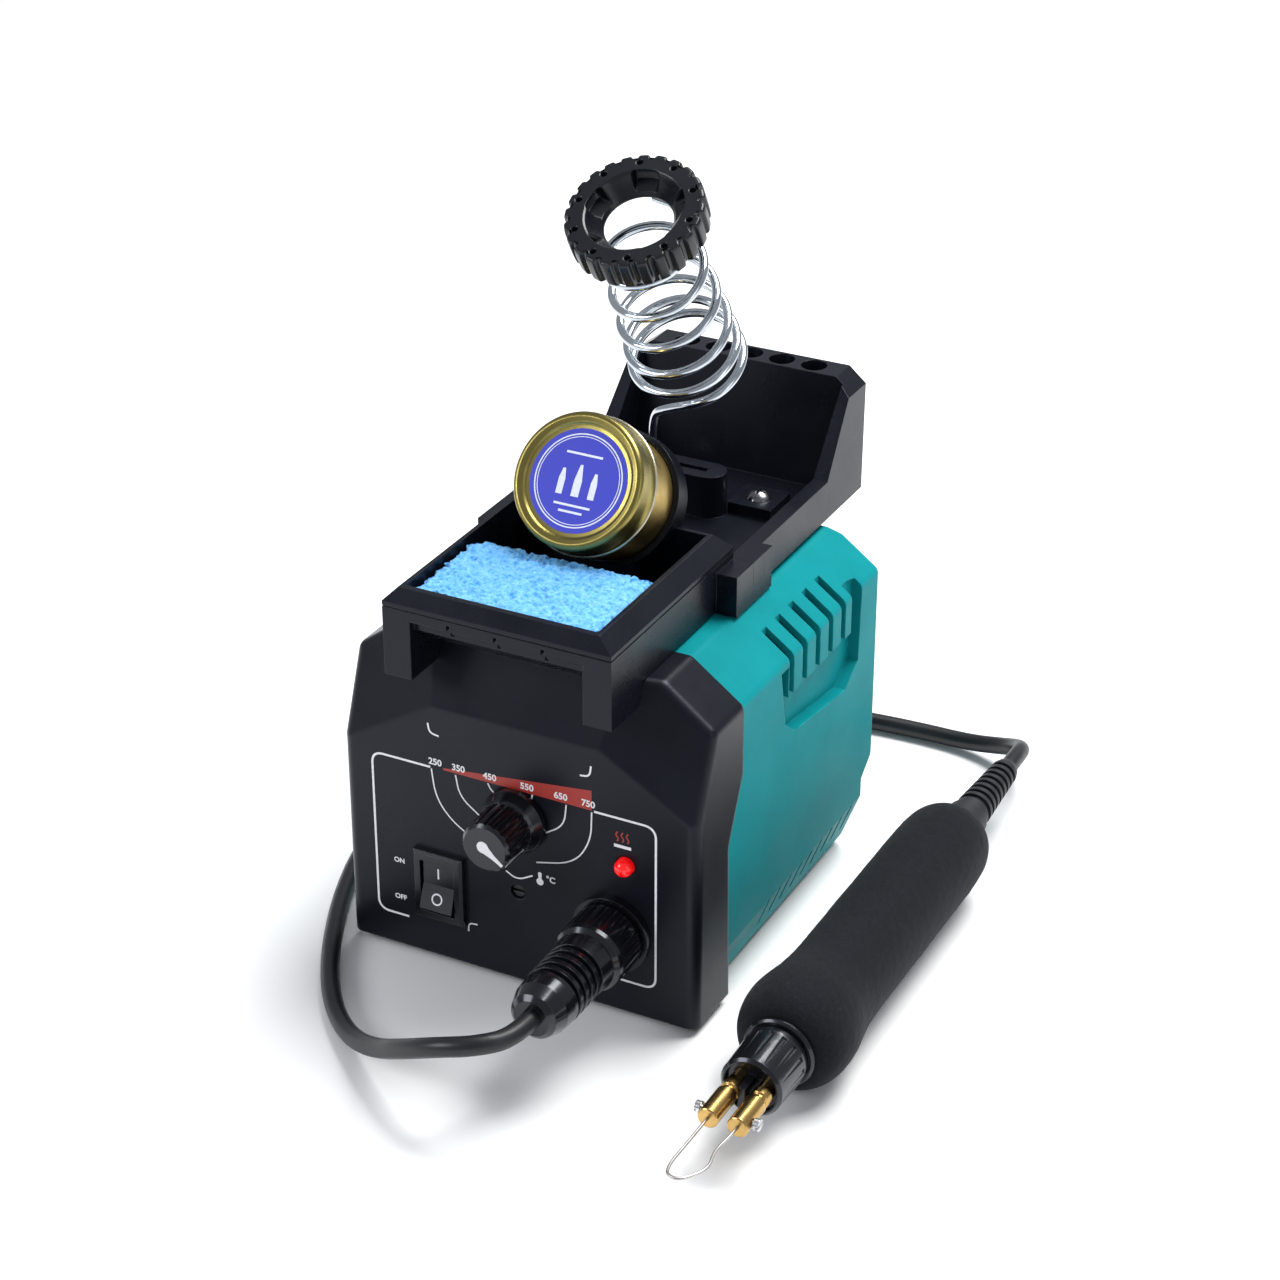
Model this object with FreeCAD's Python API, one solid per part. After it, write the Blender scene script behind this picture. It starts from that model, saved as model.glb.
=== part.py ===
import FreeCAD, Part
import math
import os

# Bench soldering station with a burning pen: a two-shell case, a top tray with sponge, tin and
# wire stand, a front panel with controls, and a pen on its cord.
# Frame: +Z up, -Y is the front panel, origin on the bench below the middle of the case.
V = FreeCAD.Vector
UP = V(0, 0, 1)
BACK = V(0, 1, 0)
RIGHT = V(1, 0, 0)
FAR = 250.0               # reach of cutting blocks, beyond every size here
os.makedirs("parts", exist_ok=True)

# ---- driving dimensions, millimetres ----
CASE_W = 105.0            # across the side faces
CASE_L = 115.0            # front panel to rear face
CASE_H = 97.5             # bench to roof
WALL = 2.5                # moulded wall of the case
FOOT_H = 2.5              # rubber feet below the case
FOOT_R = 6.0
ROOF_HALF = 37.5          # half width of the flat roof
SHOULDER_Z = 86.5         # where the roof slope meets the side face
PANEL_TOP_HALF = 24.5     # half width of the panel's top edge
PANEL_TOP_Z = 79.5
PANEL_SIDE_Z = 62.5       # top of the panel's side edges
BROW_DEPTH = 7.5          # how far the brow slopes back from the panel to the roof
CHEEK_DEPTH = 9.0         # how far the corner facets reach back along the shoulder
SEAM_Y = -31.5            # joint between cover and rear shell, at the roof
SEAM_JOG = 8.0
SEAM_JOG_TOP_Z = 67.0
SEAM_JOG_LOW_Z = 49.0
SEAM_GAP = 0.15
SHELL_INSET = 0.5         # the rear shell is this much smaller than the cover
EDGE_R = 3.2              # moulded outer edges of the case
SKIRT_IN = 5.5            # lower edge of the rear shell leans in by this much
SKIRT_Z = 17.0
REAR_STEP_Y = 9.0         # lower rear is set forward by this much
REAR_STEP_Z = 27.5
REAR_CHAMFER = 4.0

KNOB_X = 0.0
KNOB_Z = 52.5
KNOB_R = 7.0
KNOB_SKIRT_R = 9.2
KNOB_LEN = 16.5
SHAFT_R = 3.0
SHAFT_GAP = 0.05
POT_R = 8.2
SWITCH_X = -23.5
SWITCH_Z = 25.0
SWITCH_W = 15.0
SWITCH_H = 21.0
SWITCH_CUT_W = 13.0
SWITCH_CUT_H = 19.0
ROCKER_TILT = 9.0         # degrees either side of level
TRIM_X = 0.0
TRIM_Z = 30.0
TRIM_HOLE_R = 2.2
TRIM_R = 1.9
LED_X = 32.0
LED_Z = 47.5
LED_R = 2.5
FIT = 0.15                # clearance of a seated piece in its cut-out

SOCKET_X = 28.5
SOCKET_Z = 26.5
SOCKET_R = 8.0
SOCKET_FLANGE_R = 11.0
PLUG_RING_R = 9.8
PLUG_RING_LEN = 13.0
PLUG_LEN = 44.0           # panel to the end of the boot
PLUG_BOOT_R = 8.6

TRAY_FLOOR_Z = 100.2
TRAY_FLOOR = 2.4
FRAME_HALF = 32.7
FRAME_FRONT_Y = -66.1
FRAME_REAR_Y = 2.2
FRAME_TOP_Z = 116.7
FRAME_RIM_Z = 112.5
FRAME_WALL = 5.3
LEG_W = 8.0
LEG_LOW_Z = 91.5
APRON_Z = 108.2           # lower edge of the band between the legs
APRON_BACK = 2.2          # the wall behind that band stands this much further in
WELL_LOW_Z = 105.2        # where that wall turns under to the tray's floor
WELL_REACH = 12.0
FRONT_WALL = 3.2          # front wall of the frame, thinner than its sides
FRONT_RIM_IN = 1.7
SPONGE_BED_Z = 104.5      # raised floor that the sponge lies on
RAIL_HALF = 36.5
RAIL_WALL = 5.2
RAIL_Z = 109.0
RAIL_BLOCK_HALF = 38.6
BACK_FOOT_Y = 77.5        # rear wall, outer face at its foot
BACK_TOP_Y = 84.5         # rear wall, outer face at its top
BACK_TOP_Z = 131.5
BACK_T = 9.2
BACK_TOP_HALF = 28.6
TIP_HOLE_R = 3.7
TIP_HOLE_PITCH = 9.9
TIP_HOLES = 5
TIP_HOLE_DEPTH = 18.0
SCREW_R = 1.5
SCREW_HEAD_R = 3.6
HEAD_GAP = 0.6            # room round a sunk screw head
TRAY_SCREW_X = 18.0
TRAY_SCREW_FRONT_Y = -44.0
TRAY_SCREW_REAR_Y = 49.0
TRAY_UNDER_Z = TRAY_FLOOR_Z - TRAY_FLOOR
TRAY_GAP = 0.3            # gap between the tray's underside and the case
FRAME_RIM_IN = 4.1        # lean of the rim over its height
RIM_GROOVE = 0.35
LEG_DEPTH = 16.5
APRON_SLIT_X = 13.5
WALL_LEAN = 2.4
SEAT_H = 3.2              # height of the rear screw seats above the tray's floor
RAIL_REAR_Y = 55.5        # where the rails end and the rear rises
RAIL_BLOCK_REAR_Y = 13.5
CUP_BACK = 2.2            # thickness of the tin cup's bottom

SPONGE_L = 33.5
SPONGE_TOP_Z = 115.8
SPONGE_GAP = 0.6

TIN_R = 17.0
TIN_LEN = 27.0
TIN_T = 0.6
LID_OVER = 1.2            # the lid is this much larger in radius than the tin
LID_R = TIN_R + LID_OVER
LID_SKIRT = 9.0
LID_T = 0.6
LID_GAP = 0.3
LID_RECESS = 0.9
TIN_TILT = 34.0           # lid faces this many degrees above level
TIN_LOW_Y = -32.88        # lowest point of the lid's face
TIN_LOW_Z = 119.71
CUP_WALL = 1.5
CUP_DEPTH = 4.0
CUP_GAP = 0.35

COIL_LOW = V(0, 40.1, 145.2)     # centre of the lowest turn
COIL_LEAN = 31.0                 # degrees forward from upright
COIL_LOW_R = 15.7
COIL_TOP_R = 12.4
COIL_DROP = 2.0                  # the coil starts this much below that centre
COIL_FIRST_PITCH = 4.2
COIL_PITCH = 12.0
COIL_EASE = 3.0                  # turns over which the pitch grows to its full size
COIL_TURNS = 5.42
WIRE_R = 1.25
STEM_X = -9.0
STEM_Y = 37.5
STEM_FOOT_Z = 104.0
BOSS_Y = 40.9
BOSS_TOP_Z = 112.5
BOSS_HALF_X = 11.5
BOSS_R = 4.9
STEM_GAP = 0.08
COLLAR_R = 18.7
COLLAR_T = 9.0
COLLAR_BORE_R = 12.6
COLLAR_RIBS = 24
COLLAR_AT = 52.0                 # along the coil axis, lowest turn to the collar's under side

PEN_X = 82.8
PEN_Z = 15.5
PEN_GRIP_R = 13.3
PEN_BULGE_R = 15.5
GRIP_FRONT_Y = -71.0
GRIP_REAR_Y = 45.0
BARREL_R = 7.0
NUT_R = 8.8
NUT_LEN = 17.8
NUT_BORE_R = 7.2
TERMINAL_R = 2.8
TERMINAL_SPACING = 8.0
TERMINAL_OUT = 15.7
TIP_WIRE_R = 0.42
PEN_COLLAR_R = 6.4
PEN_COLLAR_LEN = 9.0
BOOT_R = 5.2
BOOT_LEN = 30.0

CORD_D = 5.2
INLET_Z = 58.0
INLET_W = 27.6
INLET_H = 31.0
BOLT_HEAD_R = 3.0

# ---- fittings, and values worked out from the sizes above ----
HALF_W = CASE_W / 2
FRONT_Y = -CASE_L / 2
REAR_Y = CASE_L / 2
CASE_LOW = FOOT_H
BASE_T = 2.4
BASE_TOP = CASE_LOW + BASE_T
SCREW_X = HALF_W - SKIRT_IN - WALL - 6.5
BOSS_H = 11.0
SCREW_Y_FRONT = FRONT_Y + 12
SCREW_Y_REAR = REAR_Y - REAR_STEP_Y - 12
SCREW_SPOTS = [(sx * SCREW_X, y) for sx in (-1, 1) for y in (SCREW_Y_FRONT, SCREW_Y_REAR)]
BOARD_Y = FRONT_Y + 15.5
BOARD_T = 1.6
STANDOFFS = [(-33, 64), (33, 64), (-37, 43), (37, 43)]
POCKET_DEPTH = 3.4
POCKET = [(-8, 84), (-5, 67.5), (1.5, 62.6), (34.4, 58.4), (42.8, 63.7), (44, 88), (37, 89), (37, 75),
          (-3.4, 75), (-3.4, 84)]
SLOT_FIRST_Y = -1.6
SLOT_PITCH = 8.3
SLOT_W = 3.0
SLOTS = 5
SLOT_INNER_X = 43.5
LOW_SLOTS = 9
LOW_SLOT_FIRST_Y = -12.0
LOW_SLOT_PITCH = 6.8
INLET_EAR_X = 20.0
INLET_FLANGE_T = 3.0
INLET_REAR = REAR_Y - SHELL_INSET
FOOT_X = HALF_W - 16
FOOT_Y = 26.0
CORE_X = -2.0
CORE_Y = 8.0
CORE_W = 66.0
CORE_D = 30.0
CORE_H = 55.0
CORE_LIMB = 11.0
COIL_OUT = 9.0
POT_BACK = FRONT_Y + WALL
SWITCH_PROUD = 2.2
ROCKER_W = 9.6
ROCKER_H = 15.0
ROCKER_GAP = 0.35
PIVOT_Y = FRONT_Y + 2.0
SOCKET_OUT = FRONT_Y - 2.5
RING_BACK = FRONT_Y - 2.8
RING_FRONT = RING_BACK - PLUG_RING_LEN
PLUG_END = FRONT_Y - PLUG_LEN
CORE_R = 5.6
TIN_OUT = V(0, -math.cos(math.radians(TIN_TILT)), math.sin(math.radians(TIN_TILT)))
TIN_UP = V(0, TIN_OUT.z, -TIN_OUT.y)
TIN_FACE = V(0, TIN_LOW_Y, TIN_LOW_Z) + TIN_UP * LID_R
TIN_FOOT = TIN_FACE - TIN_OUT * TIN_LEN
BACK_LEAN = V(0, BACK_TOP_Y - BACK_FOOT_Y, BACK_TOP_Z - (CASE_H + 1))
COIL_DIR = V(0, -math.sin(math.radians(COIL_LEAN)), math.cos(math.radians(COIL_LEAN)))
COIL_ACROSS = V(0, COIL_DIR.z, -COIL_DIR.y)
COIL_START = -50.0
COIL_STEPS = 12
NUT_FACE = GRIP_FRONT_Y - NUT_LEN
BOOT_END = GRIP_REAR_Y + PEN_COLLAR_LEN + BOOT_LEN
CORD_R = CORD_D / 2
FLOOR_Z = CORD_R + 0.3
CORD_ROUTE = [
    (SOCKET_X, PLUG_END, SOCKET_Z), (SOCKET_X, -110.5, SOCKET_Z), (22.2, -118.4, 27.0), (11.8, -120.6,
                                                                                         24.6),
    (1.0, -117.6, 18.6), (-10.5, -111.8, 11.0), (-22.0, -104.6, 5.2), (-32.0, -96.6, FLOOR_Z),
    (-40.4, -87.4, FLOOR_Z), (-48.2, -76.0, FLOOR_Z), (-55.8, -62.0, FLOOR_Z), (-63.2, -46.0, FLOOR_Z),
    (-69.6, -28.0, FLOOR_Z), (-73.6, -8.0, FLOOR_Z), (-74.6, 13.0, FLOOR_Z), (-72.0, 34.0, FLOOR_Z),
    (-65.6, 54.0, FLOOR_Z), (-55.0, 72.0, FLOOR_Z), (-40.4, 87.0, FLOOR_Z), (-22.4, 98.4, FLOOR_Z),
    (-3.4, 105.6, FLOOR_Z), (14.6, 109.8, FLOOR_Z), (31.0, 112.2, FLOOR_Z), (46.5, 113.2, FLOOR_Z),
    (60.5, 112.6, 3.4), (72.6, 109.4, 7.0), (80.6, 102.6, 12.2), (PEN_X, 93.0, PEN_Z), (PEN_X, BOOT_END,
                                                                                        PEN_Z),
]
INLET_DEPTH = 22.0
DRAWER_W = 22.0
DRAWER_H = 7.6
DRAWER_Z = INLET_Z - INLET_H / 2 + 2.2
SOCKET_ROOM_W = 24.4
SOCKET_ROOM_H = 16.6
SOCKET_ROOM_Z = INLET_Z + INLET_H / 2 - 2.0 - SOCKET_ROOM_H
DRAWER_DEPTH = 18.0


# ---- small builders ----
def box(x0, x1, y0, y1, z0, z1):
    """A block between two corners."""
    return Part.makeBox(x1 - x0, y1 - y0, z1 - z0, V(x0, y0, z0))


def rounded_box(x0, x1, y0, y1, z0, z1, radius):
    """A block with every edge rounded."""
    block = box(x0, x1, y0, y1, z0, z1)
    return block.makeFillet(radius, block.Edges)


def rod(start, direction, radius, length):
    """A round bar from a point along a direction."""
    return Part.makeCylinder(radius, length, start, direction)


def prism(points, axis, low, high):
    """A polygon drawn across an axis and carried along it from low to high."""
    across = {"x": lambda a, b: V(low, a, b), "y": lambda a, b: V(a, low, b), "z": lambda a,
              b: V(a, b, low)}[axis]
    along = {"x": RIGHT, "y": BACK, "z": UP}[axis]
    corners = [across(a, b) for a, b in points]
    face = Part.Face(Part.makePolygon(corners + corners[:1]))
    return face.extrude(along * (high - low))


def aim(shape, origin, direction):
    """Move a shape built on +Z so that it stands at origin and points along direction."""
    shape.Placement = FreeCAD.Placement(origin, FreeCAD.Rotation(UP, direction))
    return shape


def turned(profile, origin, direction):
    """A lathe-turned solid: profile is a closed list of (distance along, radius)."""
    corners = [V(radius, 0, along) for along, radius in profile]
    face = Part.Face(Part.makePolygon(corners + corners[:1]))
    return aim(face.revolve(V(0, 0, 0), UP, 360), origin, direction)


def beyond(point, normal):
    """A large block on the outer side of a plane."""
    size = 600.0
    block = Part.makeBox(size, size, size, V(-size / 2, -size / 2, 0))
    return aim(block, point, normal)


def plane_through(a, b, c, outward):
    """The outward unit normal of the plane through three points."""
    normal = (b - a).cross(c - a)
    normal.normalize()
    return normal if normal.dot(outward) > 0 else normal * -1


def union(shapes):
    """All shapes as one solid, with leftover seams removed."""
    result = shapes[0]
    if len(shapes) > 1:
        result = result.multiFuse(shapes[1:])
    return result.removeSplitter()


def group(shapes):
    """Separate solids kept in one node."""
    return Part.makeCompound([solid for shape in shapes for solid in shape.Solids])


def save(node, shape):
    """Write one node and report its solids and volume."""
    solids = shape.Solids
    whole = solids[0] if len(solids) == 1 else Part.makeCompound(solids)
    if not whole.isValid():
        whole.fix(0.01, 0.01, 0.01)
    print(node, len(solids), "solids", round(whole.Volume, 1), "mm3",
          "valid" if whole.isValid() else "INVALID")
    whole.exportStep("parts/" + node + ".step")


def route_wire(points, share=0.45):
    """Straight runs joined by tangent arcs, each as large as its two runs allow."""
    edges = []
    radii = []
    last = points[0]
    for before, corner, after in zip(points, points[1:], points[2:]):
        into = corner - before
        out = after - corner
        reach = share * min(into.Length, out.Length)
        into.normalize()
        out.normalize()
        half_turn = math.acos(max(-1.0, min(1.0, into.dot(out)))) / 2
        radius = reach / math.tan(half_turn)
        inward = out - into
        inward.normalize()
        first = corner - into * reach
        final = corner + out * reach
        middle = corner + inward * (radius / math.cos(half_turn) - radius)
        edges.append(Part.LineSegment(last, first).toShape())
        edges.append(Part.Arc(first, middle, final).toShape())
        radii.append(radius)
        last = final
    edges.append(Part.LineSegment(last, points[-1]).toShape())
    return Part.Wire(edges), radii


def tube(points, radius, share=0.45):
    """A round tube along a route; returns it with its bend radii and its length."""
    path, radii = route_wire(points, share)
    start = points[1] - points[0]
    ring = Part.Wire([Part.Circle(points[0], start, radius).toShape()])
    solid = path.makePipeShell([ring], True, False, 2)
    return solid, radii, path.Length


# ---- case ----


def case_block(inset):
    """The case's outer form, or the same form with every face moved in by inset."""
    low = CASE_LOW if inset == 0 else CASE_LOW - 1
    brow_y = FRONT_Y + BROW_DEPTH
    block = box(-HALF_W, HALF_W, FRONT_Y, REAR_Y, low, CASE_H)
    roof = V(0, 0, CASE_H)
    faces = [(V(0, FRONT_Y, 0), V(0, -1, 0)), (V(0, REAR_Y, 0), BACK), (roof, UP)]
    panel_top = V(0, FRONT_Y, PANEL_TOP_Z)
    brow = plane_through(panel_top, panel_top + V(10, 0, 0), V(0, brow_y, CASE_H), V(0, -1, 1))
    faces.append((panel_top, brow))
    faces.append((V(0, REAR_Y, CASE_H - REAR_CHAMFER), V(0, 1, 1)))
    for side in (-1, 1):
        shoulder = V(side * HALF_W, 0, SHOULDER_Z)
        eave = V(side * ROOF_HALF, 0, CASE_H)
        faces.append((shoulder, plane_through(shoulder, eave, eave + V(0, 10, 0), V(side, 0, 1))))
        faces.append((V(side * HALF_W, 0, 0), V(side, 0, 0)))
        corner = V(side * PANEL_TOP_HALF, FRONT_Y, PANEL_TOP_Z)
        panel_edge = V(side * HALF_W, FRONT_Y, PANEL_SIDE_Z)
        shoulder_front = V(side * HALF_W, FRONT_Y + CHEEK_DEPTH, SHOULDER_Z)
        faces.append((corner, plane_through(corner, panel_edge, shoulder_front, V(side, -1, 1))))
    for point, normal in faces:
        normal.normalize()
        block = block.cut(beyond(point - normal * inset, normal))
    return block.removeSplitter()


def seam_side(front, shift):
    """The region in front of or behind the seam between cover and rear shell."""
    far = -200 if front else 200
    line = [(SEAM_Y, 200), (SEAM_Y, SEAM_JOG_TOP_Z), (SEAM_Y - SEAM_JOG, SEAM_JOG_LOW_Z),
            (SEAM_Y - SEAM_JOG + 2, -20)]
    points = [(y + shift, z) for y, z in line] + [(far, -20), (far, 200)]
    return prism(points, "x", -100, 100)


def soften(solid, radius, wanted):
    """Round the edges that the test picks, one set at a time."""
    edges = [edge for edge in solid.Edges if wanted(edge)]
    return solid.makeFillet(radius, edges)


def above_base(edge):
    """True for every outer edge of the case but those round its lower opening."""
    return edge.BoundBox.ZMax > CASE_LOW + 1


outer = case_block(0)
outer = soften(outer, EDGE_R, above_base)
inner = case_block(WALL)
cover_region = seam_side(True, -SEAM_GAP / 2)
shell_region = seam_side(False, SEAM_GAP / 2)


def panel_bore(x, z, radius):
    """A round cutter through the front panel."""
    return rod(V(x, FRONT_Y - 5, z), BACK, radius, WALL + 8)


def screw_boss(x, y):
    """A boss for a case screw, with a rib that ties it to the side wall."""
    post = rod(V(x, y, BASE_TOP), UP, 4.2, BOSS_H)
    ends = sorted([x, math.copysign(HALF_W, x)])
    return post.fuse(box(ends[0], ends[1], y - 1.2, y + 1.2, BASE_TOP + 4, BASE_TOP + BOSS_H))


def screw_pilot(x, y):
    """The hole that a case screw's thread fills."""
    return rod(V(x, y, CASE_LOW - 1), UP, SCREW_R + 0.05, BOSS_H + 2.5)


def front_cover():
    """Black cover with the control panel."""
    shell = outer.cut(inner).common(cover_region)
    bosses = [screw_boss(x, y) for x, y in SCREW_SPOTS if y < 0]
    posts = []
    for x, z in STANDOFFS:
        posts.append(rod(V(x, FRONT_Y + WALL - 0.5, z), BACK, 3.0, BOARD_Y - FRONT_Y - WALL + 0.5))
    roof_posts = [rod(V(side * TRAY_SCREW_X, TRAY_SCREW_FRONT_Y, CASE_H - 14), UP, 4.0, 12.5)
                  for side in (-1, 1)]
    shell = union([shell] + [post.common(outer) for post in bosses + posts + roof_posts])
    cuts = [panel_bore(KNOB_X, KNOB_Z, 3.7), panel_bore(TRIM_X, TRIM_Z, TRIM_HOLE_R)]
    cuts += [panel_bore(LED_X, LED_Z, LED_R + FIT), panel_bore(SOCKET_X, SOCKET_Z, SOCKET_R + FIT)]
    half_w = SWITCH_CUT_W / 2 + FIT
    half_h = SWITCH_CUT_H / 2 + FIT
    cuts.append(box(SWITCH_X - half_w, SWITCH_X + half_w, FRONT_Y - 5, FRONT_Y + 8, SWITCH_Z - half_h,
                    SWITCH_Z + half_h))
    cuts += [screw_pilot(x, y) for x, y in SCREW_SPOTS if y < 0]
    cuts += [rod(V(x, BOARD_Y - 7, z), BACK, SCREW_R + 0.05, 8) for x, z in STANDOFFS]
    for side in (-1, 1):
        cuts.append(rod(V(side * TRAY_SCREW_X, TRAY_SCREW_FRONT_Y, CASE_H - 13), UP, SCREW_R + 0.05, 20))
    return shell.cut(Part.makeCompound(cuts))


def grip_pocket(side, depth, grow):
    """The shape of the finger pocket in one side face, grown outward by a margin."""
    centre_y = 18.0
    centre_z = 70.0
    points = []
    for y, z in POCKET:
        reach = math.hypot(y - centre_y, z - centre_z)
        scale = 1 + grow / reach
        points.append((centre_y + (y - centre_y) * scale, centre_z + (z - centre_z) * scale))
    face_x = side * (HALF_W - SHELL_INSET)
    ends = sorted([face_x + side * 6, face_x - side * depth])
    return prism(points, "x", ends[0], ends[1])


def rear_step(inset):
    """The block cut from the lower rear, so that the lower rear stands further forward."""
    y = REAR_Y - REAR_STEP_Y - inset
    top = REAR_STEP_Z + inset
    return prism([(y, -20), (y, top - 5), (REAR_Y + 1 - inset, top + 3), (REAR_Y + 20, top + 3),
                  (REAR_Y + 20, -20)], "x", -100, 100)


def skirt_cut(side, inset):
    """The wedge cut from the lower side edge of the rear shell."""
    face_x = side * (HALF_W - inset)
    low_x = side * (HALF_W - SKIRT_IN - inset)
    far = side * 90
    slope = (SKIRT_Z - CASE_LOW) / SKIRT_IN
    foot_x = low_x - side * 3
    foot_z = CASE_LOW - 3 * slope
    return prism([(face_x, SKIRT_Z), (foot_x, foot_z), (far, foot_z), (far, SKIRT_Z)], "y", -100, 100)


def rear_shell():
    """Coloured rear shell with finger pockets, vents and the inlet's cut-out."""
    body = case_block(SHELL_INSET).common(box(-100, 100, -100, REAR_Y, CASE_LOW, 200))
    body = soften(body, EDGE_R - SHELL_INSET, above_base)
    hollow = inner
    for side in (-1, 1):
        body = body.cut(skirt_cut(side, SHELL_INSET))
        hollow = hollow.cut(skirt_cut(side, WALL))
    body = body.cut(rear_step(0))
    hollow = hollow.cut(rear_step(WALL))
    shell = body.cut(hollow)
    additions = []
    for side in (-1, 1):
        additions.append(grip_pocket(side, POCKET_DEPTH + WALL, WALL).common(body))
        additions.append(rod(V(side * TRAY_SCREW_X, TRAY_SCREW_REAR_Y, CASE_H - 14), UP, 4.0,
                             12).common(body))
    additions += [screw_boss(x, y).common(body) for x, y in SCREW_SPOTS if y > 0]
    shell = union([shell] + additions).common(shell_region)
    cuts = []
    for side in (-1, 1):
        cuts.append(grip_pocket(side, POCKET_DEPTH, 0))
        for number in range(SLOTS):
            y = SLOT_FIRST_Y + number * SLOT_PITCH
            xs = sorted([side * SLOT_INNER_X, side * (HALF_W + 5)])
            cuts.append(box(xs[0], xs[1], y - SLOT_W / 2, y + SLOT_W / 2, 74, 98))
        for number in range(LOW_SLOTS):
            y = LOW_SLOT_FIRST_Y + number * LOW_SLOT_PITCH
            xs = sorted([side * (HALF_W - SKIRT_IN - 4), side * (HALF_W + 5)])
            cuts.append(box(xs[0], xs[1], y - 0.8, y + 0.8, 8, 17))
        cuts.append(rod(V(side * TRAY_SCREW_X, TRAY_SCREW_REAR_Y, CASE_H - 13), UP, SCREW_R + 0.05, 20))
    half_w = INLET_W / 2 + FIT
    half_h = INLET_H / 2 + FIT
    cuts.append(box(-half_w, half_w, REAR_Y - 10, REAR_Y + 5, INLET_Z - half_h, INLET_Z + half_h))
    cuts += [inlet_screw_hole(side) for side in (-1, 1)]
    cuts += [screw_pilot(x, y) for x, y in SCREW_SPOTS if y > 0]
    return shell.cut(Part.makeCompound(cuts))


def inlet_screw_hole(side):
    """Clearance for a screw that holds the mains inlet."""
    return rod(V(side * INLET_EAR_X, REAR_Y - 8, INLET_Z), BACK, SCREW_R + 0.05, 14)


def base_plate():
    """Floor of the case, with vent slots."""
    half = HALF_W - WALL - 0.5
    rear = REAR_Y - REAR_STEP_Y - WALL - 0.4
    front = FRONT_Y + WALL + 0.4
    seam = SEAM_Y - SEAM_JOG - 1.5
    narrow = HALF_W - SKIRT_IN - WALL - 1.4
    outline = [(-half, front), (half, front), (half, seam), (narrow, seam + 2), (narrow, rear),
               (-narrow, rear), (-narrow, seam + 2), (-half, seam)]
    plate = prism(outline, "z", CASE_LOW, CASE_LOW + BASE_T)
    cuts = [rod(V(x, y, CASE_LOW - 1), UP, SCREW_R + 0.05, 5) for x, y in SCREW_SPOTS]
    for number in range(6):
        x = -30 + number * 12
        cuts.append(box(x - 1.2, x + 1.2, -34, -12, CASE_LOW - 1, CASE_LOW + 5))
    return plate.cut(Part.makeCompound(cuts))


def rubber_feet():
    """Four rubber feet below the base plate."""
    return group([rod(V(sx * FOOT_X, sy * FOOT_Y, 0), UP, FOOT_R, FOOT_H) for sx in (-1, 1)
                  for sy in (-1, 1)])


def headed_screw(under_head, direction, length, head_r, head_h):
    """A screw whose shank runs along direction from under its head."""
    shank = rod(under_head, direction, SCREW_R, length)
    head = rod(under_head - direction * head_h, direction, head_r, head_h)
    return shank.fuse(head)


def domed_screw(under_head, length):
    """A dome-headed screw driven downwards, with a cross recess in its head."""
    shank = rod(under_head - V(0, 0, length), UP, SCREW_R, length)
    ball_r = (SCREW_HEAD_R ** 2 + 2.2 ** 2) / (2 * 2.2)
    ball = Part.makeSphere(ball_r, under_head + V(0, 0, 2.2 - ball_r))
    head = ball.common(rod(under_head, UP, SCREW_HEAD_R + 1, 4))
    x, y, z = under_head
    cross = [box(x - 1.7, x + 1.7, y - 0.35, y + 0.35, z + 1.2, z + 4),
             box(x - 0.35, x + 0.35, y - 1.7, y + 1.7, z + 1.2, z + 4)]
    return shank.fuse(head).cut(Part.makeCompound(cross))


def case_screws():
    """Four screws that hold the base plate to the shells."""
    return group([headed_screw(V(x, y, CASE_LOW), UP, BOSS_H, 2.6, 1.6) for x, y in SCREW_SPOTS])


# ---- inside the case ----


def transformer_core():
    """Laminated core with two windows round a middle limb."""
    x0 = CORE_X - CORE_W / 2
    x1 = CORE_X + CORE_W / 2
    core = box(x0, x1, CORE_Y - CORE_D / 2, CORE_Y + CORE_D / 2, BASE_TOP, BASE_TOP + CORE_H)
    window = (CORE_W - 4 * CORE_LIMB) / 2
    for start in (x0 + CORE_LIMB, x1 - CORE_LIMB - window):
        core = core.cut(box(start, start + window, -100, 100, BASE_TOP + CORE_LIMB,
                            BASE_TOP + CORE_H - CORE_LIMB))
    return core


def transformer_coil():
    """Taped winding round the middle limb."""
    reach = COIL_OUT
    low = BASE_TOP + CORE_LIMB + 0.2
    high = BASE_TOP + CORE_H - CORE_LIMB - 0.2
    half_x = CORE_LIMB + reach
    half_y = CORE_D / 2 + reach
    solid = box(CORE_X - half_x, CORE_X + half_x, CORE_Y - half_y, CORE_Y + half_y, low, high)
    upright = [edge for edge in solid.Edges if edge.BoundBox.ZLength > 5]
    solid = solid.makeFillet(4, upright)
    gap = 0.2
    inner_cut = box(CORE_X - CORE_LIMB - gap, CORE_X + CORE_LIMB + gap, CORE_Y - CORE_D / 2 - gap,
                    CORE_Y + CORE_D / 2 + gap, 0, 200)
    return solid.cut(inner_cut)


def control_board():
    """Circuit board behind the panel, with its foot between switch and socket."""
    top = box(-41, 41, BOARD_Y, BOARD_Y + BOARD_T, 39, 68)
    foot = box(-13, 15, BOARD_Y, BOARD_Y + BOARD_T, 20, 40)
    board = union([top, foot])
    holes = [rod(V(x, BOARD_Y - 1, z), BACK, SCREW_R + 0.05, 5) for x, z in STANDOFFS]
    return board.cut(Part.makeCompound(holes))


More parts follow.
